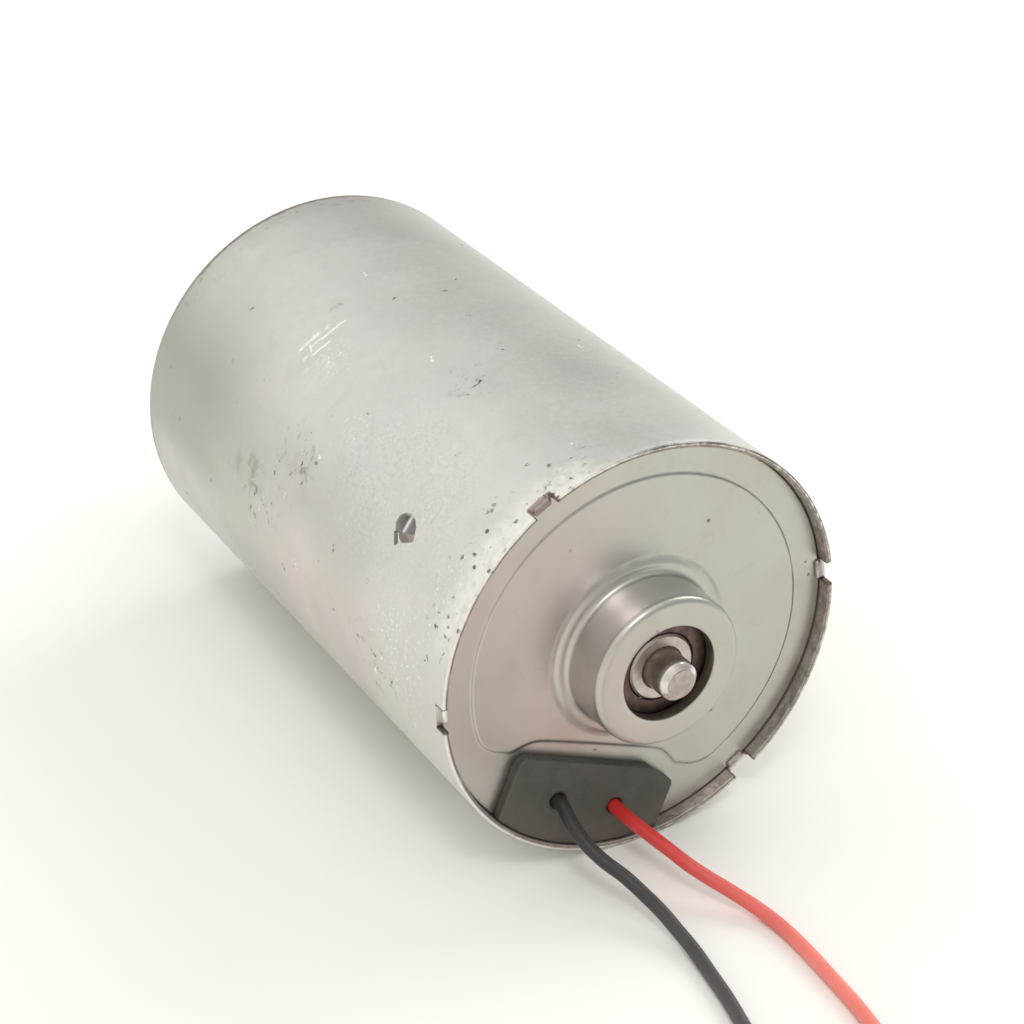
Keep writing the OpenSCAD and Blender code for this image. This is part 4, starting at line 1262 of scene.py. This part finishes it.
def build_pieces():
    steel = can_material()
    place_piece(build_can(), "housing", "can_steel", steel, "can")
    place_piece(build_end_plate(), "housing", "plate_steel", plate_material(), "rear_end_plate")
    place_piece(build_grommet(), "housing", "grommet_rubber", grommet_material(), "lead_grommet")

    ring_steel = turned_material("bearing_steel_ground", (0.62, 0.57, 0.52), 0.42, (0.52, 0.47, 0.42))
    shield_steel = turned_material(
        "shield_steel_oiled", (0.17, 0.115, 0.1), 0.42, (0.11, 0.075, 0.075), 1.5, 0.01)
    shaft_steel = shaft_material()
    rings = build_rings()
    for end in ("rear", "front"):
        bearing = end + "_bearing_"
        place_piece(rings[end + "_inner"], "rotor", "bearing_steel", ring_steel, bearing + "inner_ring")
        place_piece(rings[end + "_outer"], "housing", "bearing_steel", ring_steel, bearing + "outer_ring")
        place_piece(rings[end + "_shields"], "housing", "shield_steel", shield_steel, bearing + "shields")
    place_piece(build_shaft(), "rotor", "shaft_steel", shaft_steel, "shaft")
    clip_steel = metal_material("clip_steel_black", (0.16, 0.16, 0.17), 0.4)
    place_piece(build_clip(), "rotor", "clip_steel", clip_steel, "retaining_ring")
    spacer = mesh_piece("front_spacer_ring", *revolve(rounded([
        (4, 4, 0.1), (5.6, 4, 0.25), (5.6, 6.6, 0.25), (4, 6.6, 0.1)]), 96), sharp=25)
    place_piece(spacer, "rotor", "shaft_steel", ring_steel, "front_spacer")
    spring_steel = metal_material("spring_steel_blued", (0.42, 0.43, 0.46), 0.3)
    for coil, name, side in zip(build_springs(), ("left", "right"), (-1, 1)):
        place_piece(coil, "housing", "spring_steel", spring_steel, name + "_brush_spring")
        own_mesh(coil)

    # each lead's second colour is the paler one its painted sheen turns to away from the can
    leads = (
        ("black", BLACK_ROUTE, BLACK_COIL, BLACK_EXIT, (0.026, 0.025, 0.025), (0.085, 0.07, 0.071), 0.46),
        ("red", RED_ROUTE, RED_COIL, RED_EXIT, (0.62, 0.03, 0.028), (0.9, 0.26, 0.21), 0.42))
    tinned = metal_material("tinned_strands", (0.78, 0.78, 0.79), 0.28, 2)
    for name, route, coil, exit_at, colour, worn, rough in leads:
        wire = curve_object(name + "_lead_wire", lead_line(route, coil), LEAD_R, 7)
        skin = insulation_material(name + "_insulation_satin", colour, worn, rough)
        place_piece(wire, "housing", name + "_insulation", skin, name + "_lead", name + "_lead_coil")
        tip = build_tip(name + "_lead_strands", coil)
        place_piece(tip, "housing", "tinned_copper", tinned, name + "_lead_tip")
        paint(NODES[name + "_lead_inner"], skin)
    nylon = moulded_material("tie_nylon", (0.72, 0.71, 0.66), 0.4, 1, 0.02, 0.08, IOR=1.53)
    place_piece(build_tie(), "housing", "tie_plastic", nylon, "lead_tie")


def finish_inner_nodes():
    """Materials for the CAD nodes that stay as they are inside the can."""
    for material, *nodes in (
            (metal_material("inner_spring_steel", (0.45, 0.46, 0.5), 0.3), "magnet_clips", "wave_washer"),
            (metal_material("ball_steel_polished", (0.85, 0.85, 0.86), 0.12, 0.8, 0.003, 0.95),
             "front_bearing_balls", "rear_bearing_balls"),
            (metal_material("cage_brass_pressed", (0.72, 0.55, 0.28), 0.35),
             "front_bearing_cage", "rear_bearing_cage"),
            (metal_material("brass_pressed", (0.74, 0.55, 0.25), 0.32, 1.2, 0.01, 0.8),
             "left_brush_tube", "right_brush_tube", "left_brush_cap", "right_brush_cap", "lead_terminals"),
            (moulded_material("magnet_ferrite", (0.055, 0.05, 0.052), 0.55, 1, 0.03, 0.3),
             "upper_magnet", "lower_magnet"),
            (moulded_material("brush_card_moulded", (0.055, 0.035, 0.025), 0.45, 1, 0.03, 0.3),
             "commutator_hub", "brush_card"),
            (moulded_material("brush_carbon", (0.028, 0.027, 0.027), 0.5, 2, 0.04, 0.4),
             "left_brush", "right_brush"),
            (moulded_material("choke_ferrite", (0.05, 0.048, 0.05), 0.5, 1.5, 0.03, 0.3), "choke_cores"),
            (moulded_material("capacitor_glaze", (0.52, 0.3, 0.08), 0.3, 1, 0.02, 0.15),
             "suppression_capacitor"),
            (moulded_material("insulator_fibre", (0.4, 0.08, 0.04), 0.6, 1.5, 0.04, 0.3),
             "armature_insulators"),
            (turned_material("commutator_copper", (0.72, 0.36, 0.2), 0.25, (0.45, 0.22, 0.14), 3, 0.01),
             "commutator_bars"),
            (wound_material("pigtail_braid", "z", 0.35), "left_pigtail", "right_pigtail"),
            (metal_material("choke_wire_copper", (0.75, 0.36, 0.18), 0.3), "choke_wires"),
            (core_material(), "armature_core"),
            (wound_material("armature_wire", "around", 0.9), "armature_windings"),
            (turned_material("spacer_steel", (0.66, 0.65, 0.63), 0.3), "rear_spacer"),
            (wound_material("choke_wire", "y", 0.8), "choke_coils")):
        for node in nodes:
            paint(NODES[node], material)


# ---------- studio ----------
def add_area(name, at, aim, size, power):
    data = bpy.data.lights.new(name, "AREA")
    data.shape = "SQUARE"
    data.size = size
    data.energy = power
    obj = bpy.data.objects.new(name, data)
    bpy.context.scene.collection.objects.link(obj)
    obj.location = at
    obj.rotation_euler = (Vector(aim) - Vector(at)).to_track_quat("-Z", "Y").to_euler()


def add_studio():
    corners = ((-1, -1), (1, -1), (1, 1), (-1, 1))
    floor = mesh_piece("studio_floor", [(FLOOR_HALF * x, FLOOR_HALF * y, FLOOR_Z) for x, y in corners],
                       [(0, 1, 2, 3)])
    s = Shader("studio_paper", IOR=1.45)
    paper = s.mix(s.span(s.noise(0.004, 2), 0.3, 0.7), (0.93, 0.93, 0.895), (0.92, 0.915, 0.875))
    s.set(Base_Color=paper, Roughness=0.9)
    paint(floor, s.material)

    world = bpy.data.worlds.new("studio_world")
    bpy.context.scene.world = world
    sky = Tree(world)
    x, y, z = sky.split(sky.out(sky.add("TexCoord"), "Generated"))
    up = sky.span(z, 0.45, 1, 0.75, 1.1)
    side = sky.span(x, -0.55, 0.45, 1.23, 0.77)
    back = sky.span(y, -0.6, 0.7, 0.91, 1.08)
    background = sky.add("Background", (1, 0.99, 0.96, 1), up * side * back)
    sky.add("OutputWorld", sky.out(background, "Background"))

    add_area("key", (1.25, 0.25, 0.95), (0, -0.05, 0), 0.9, 9)
    add_area("window", (-0.33, -0.75, 1.15), (0, -0.08, 0), 0.27, 2.8)
    bpy.context.scene.view_settings.view_transform = "Standard"


add_camera()
build_pieces()
finish_inner_nodes()
add_studio()
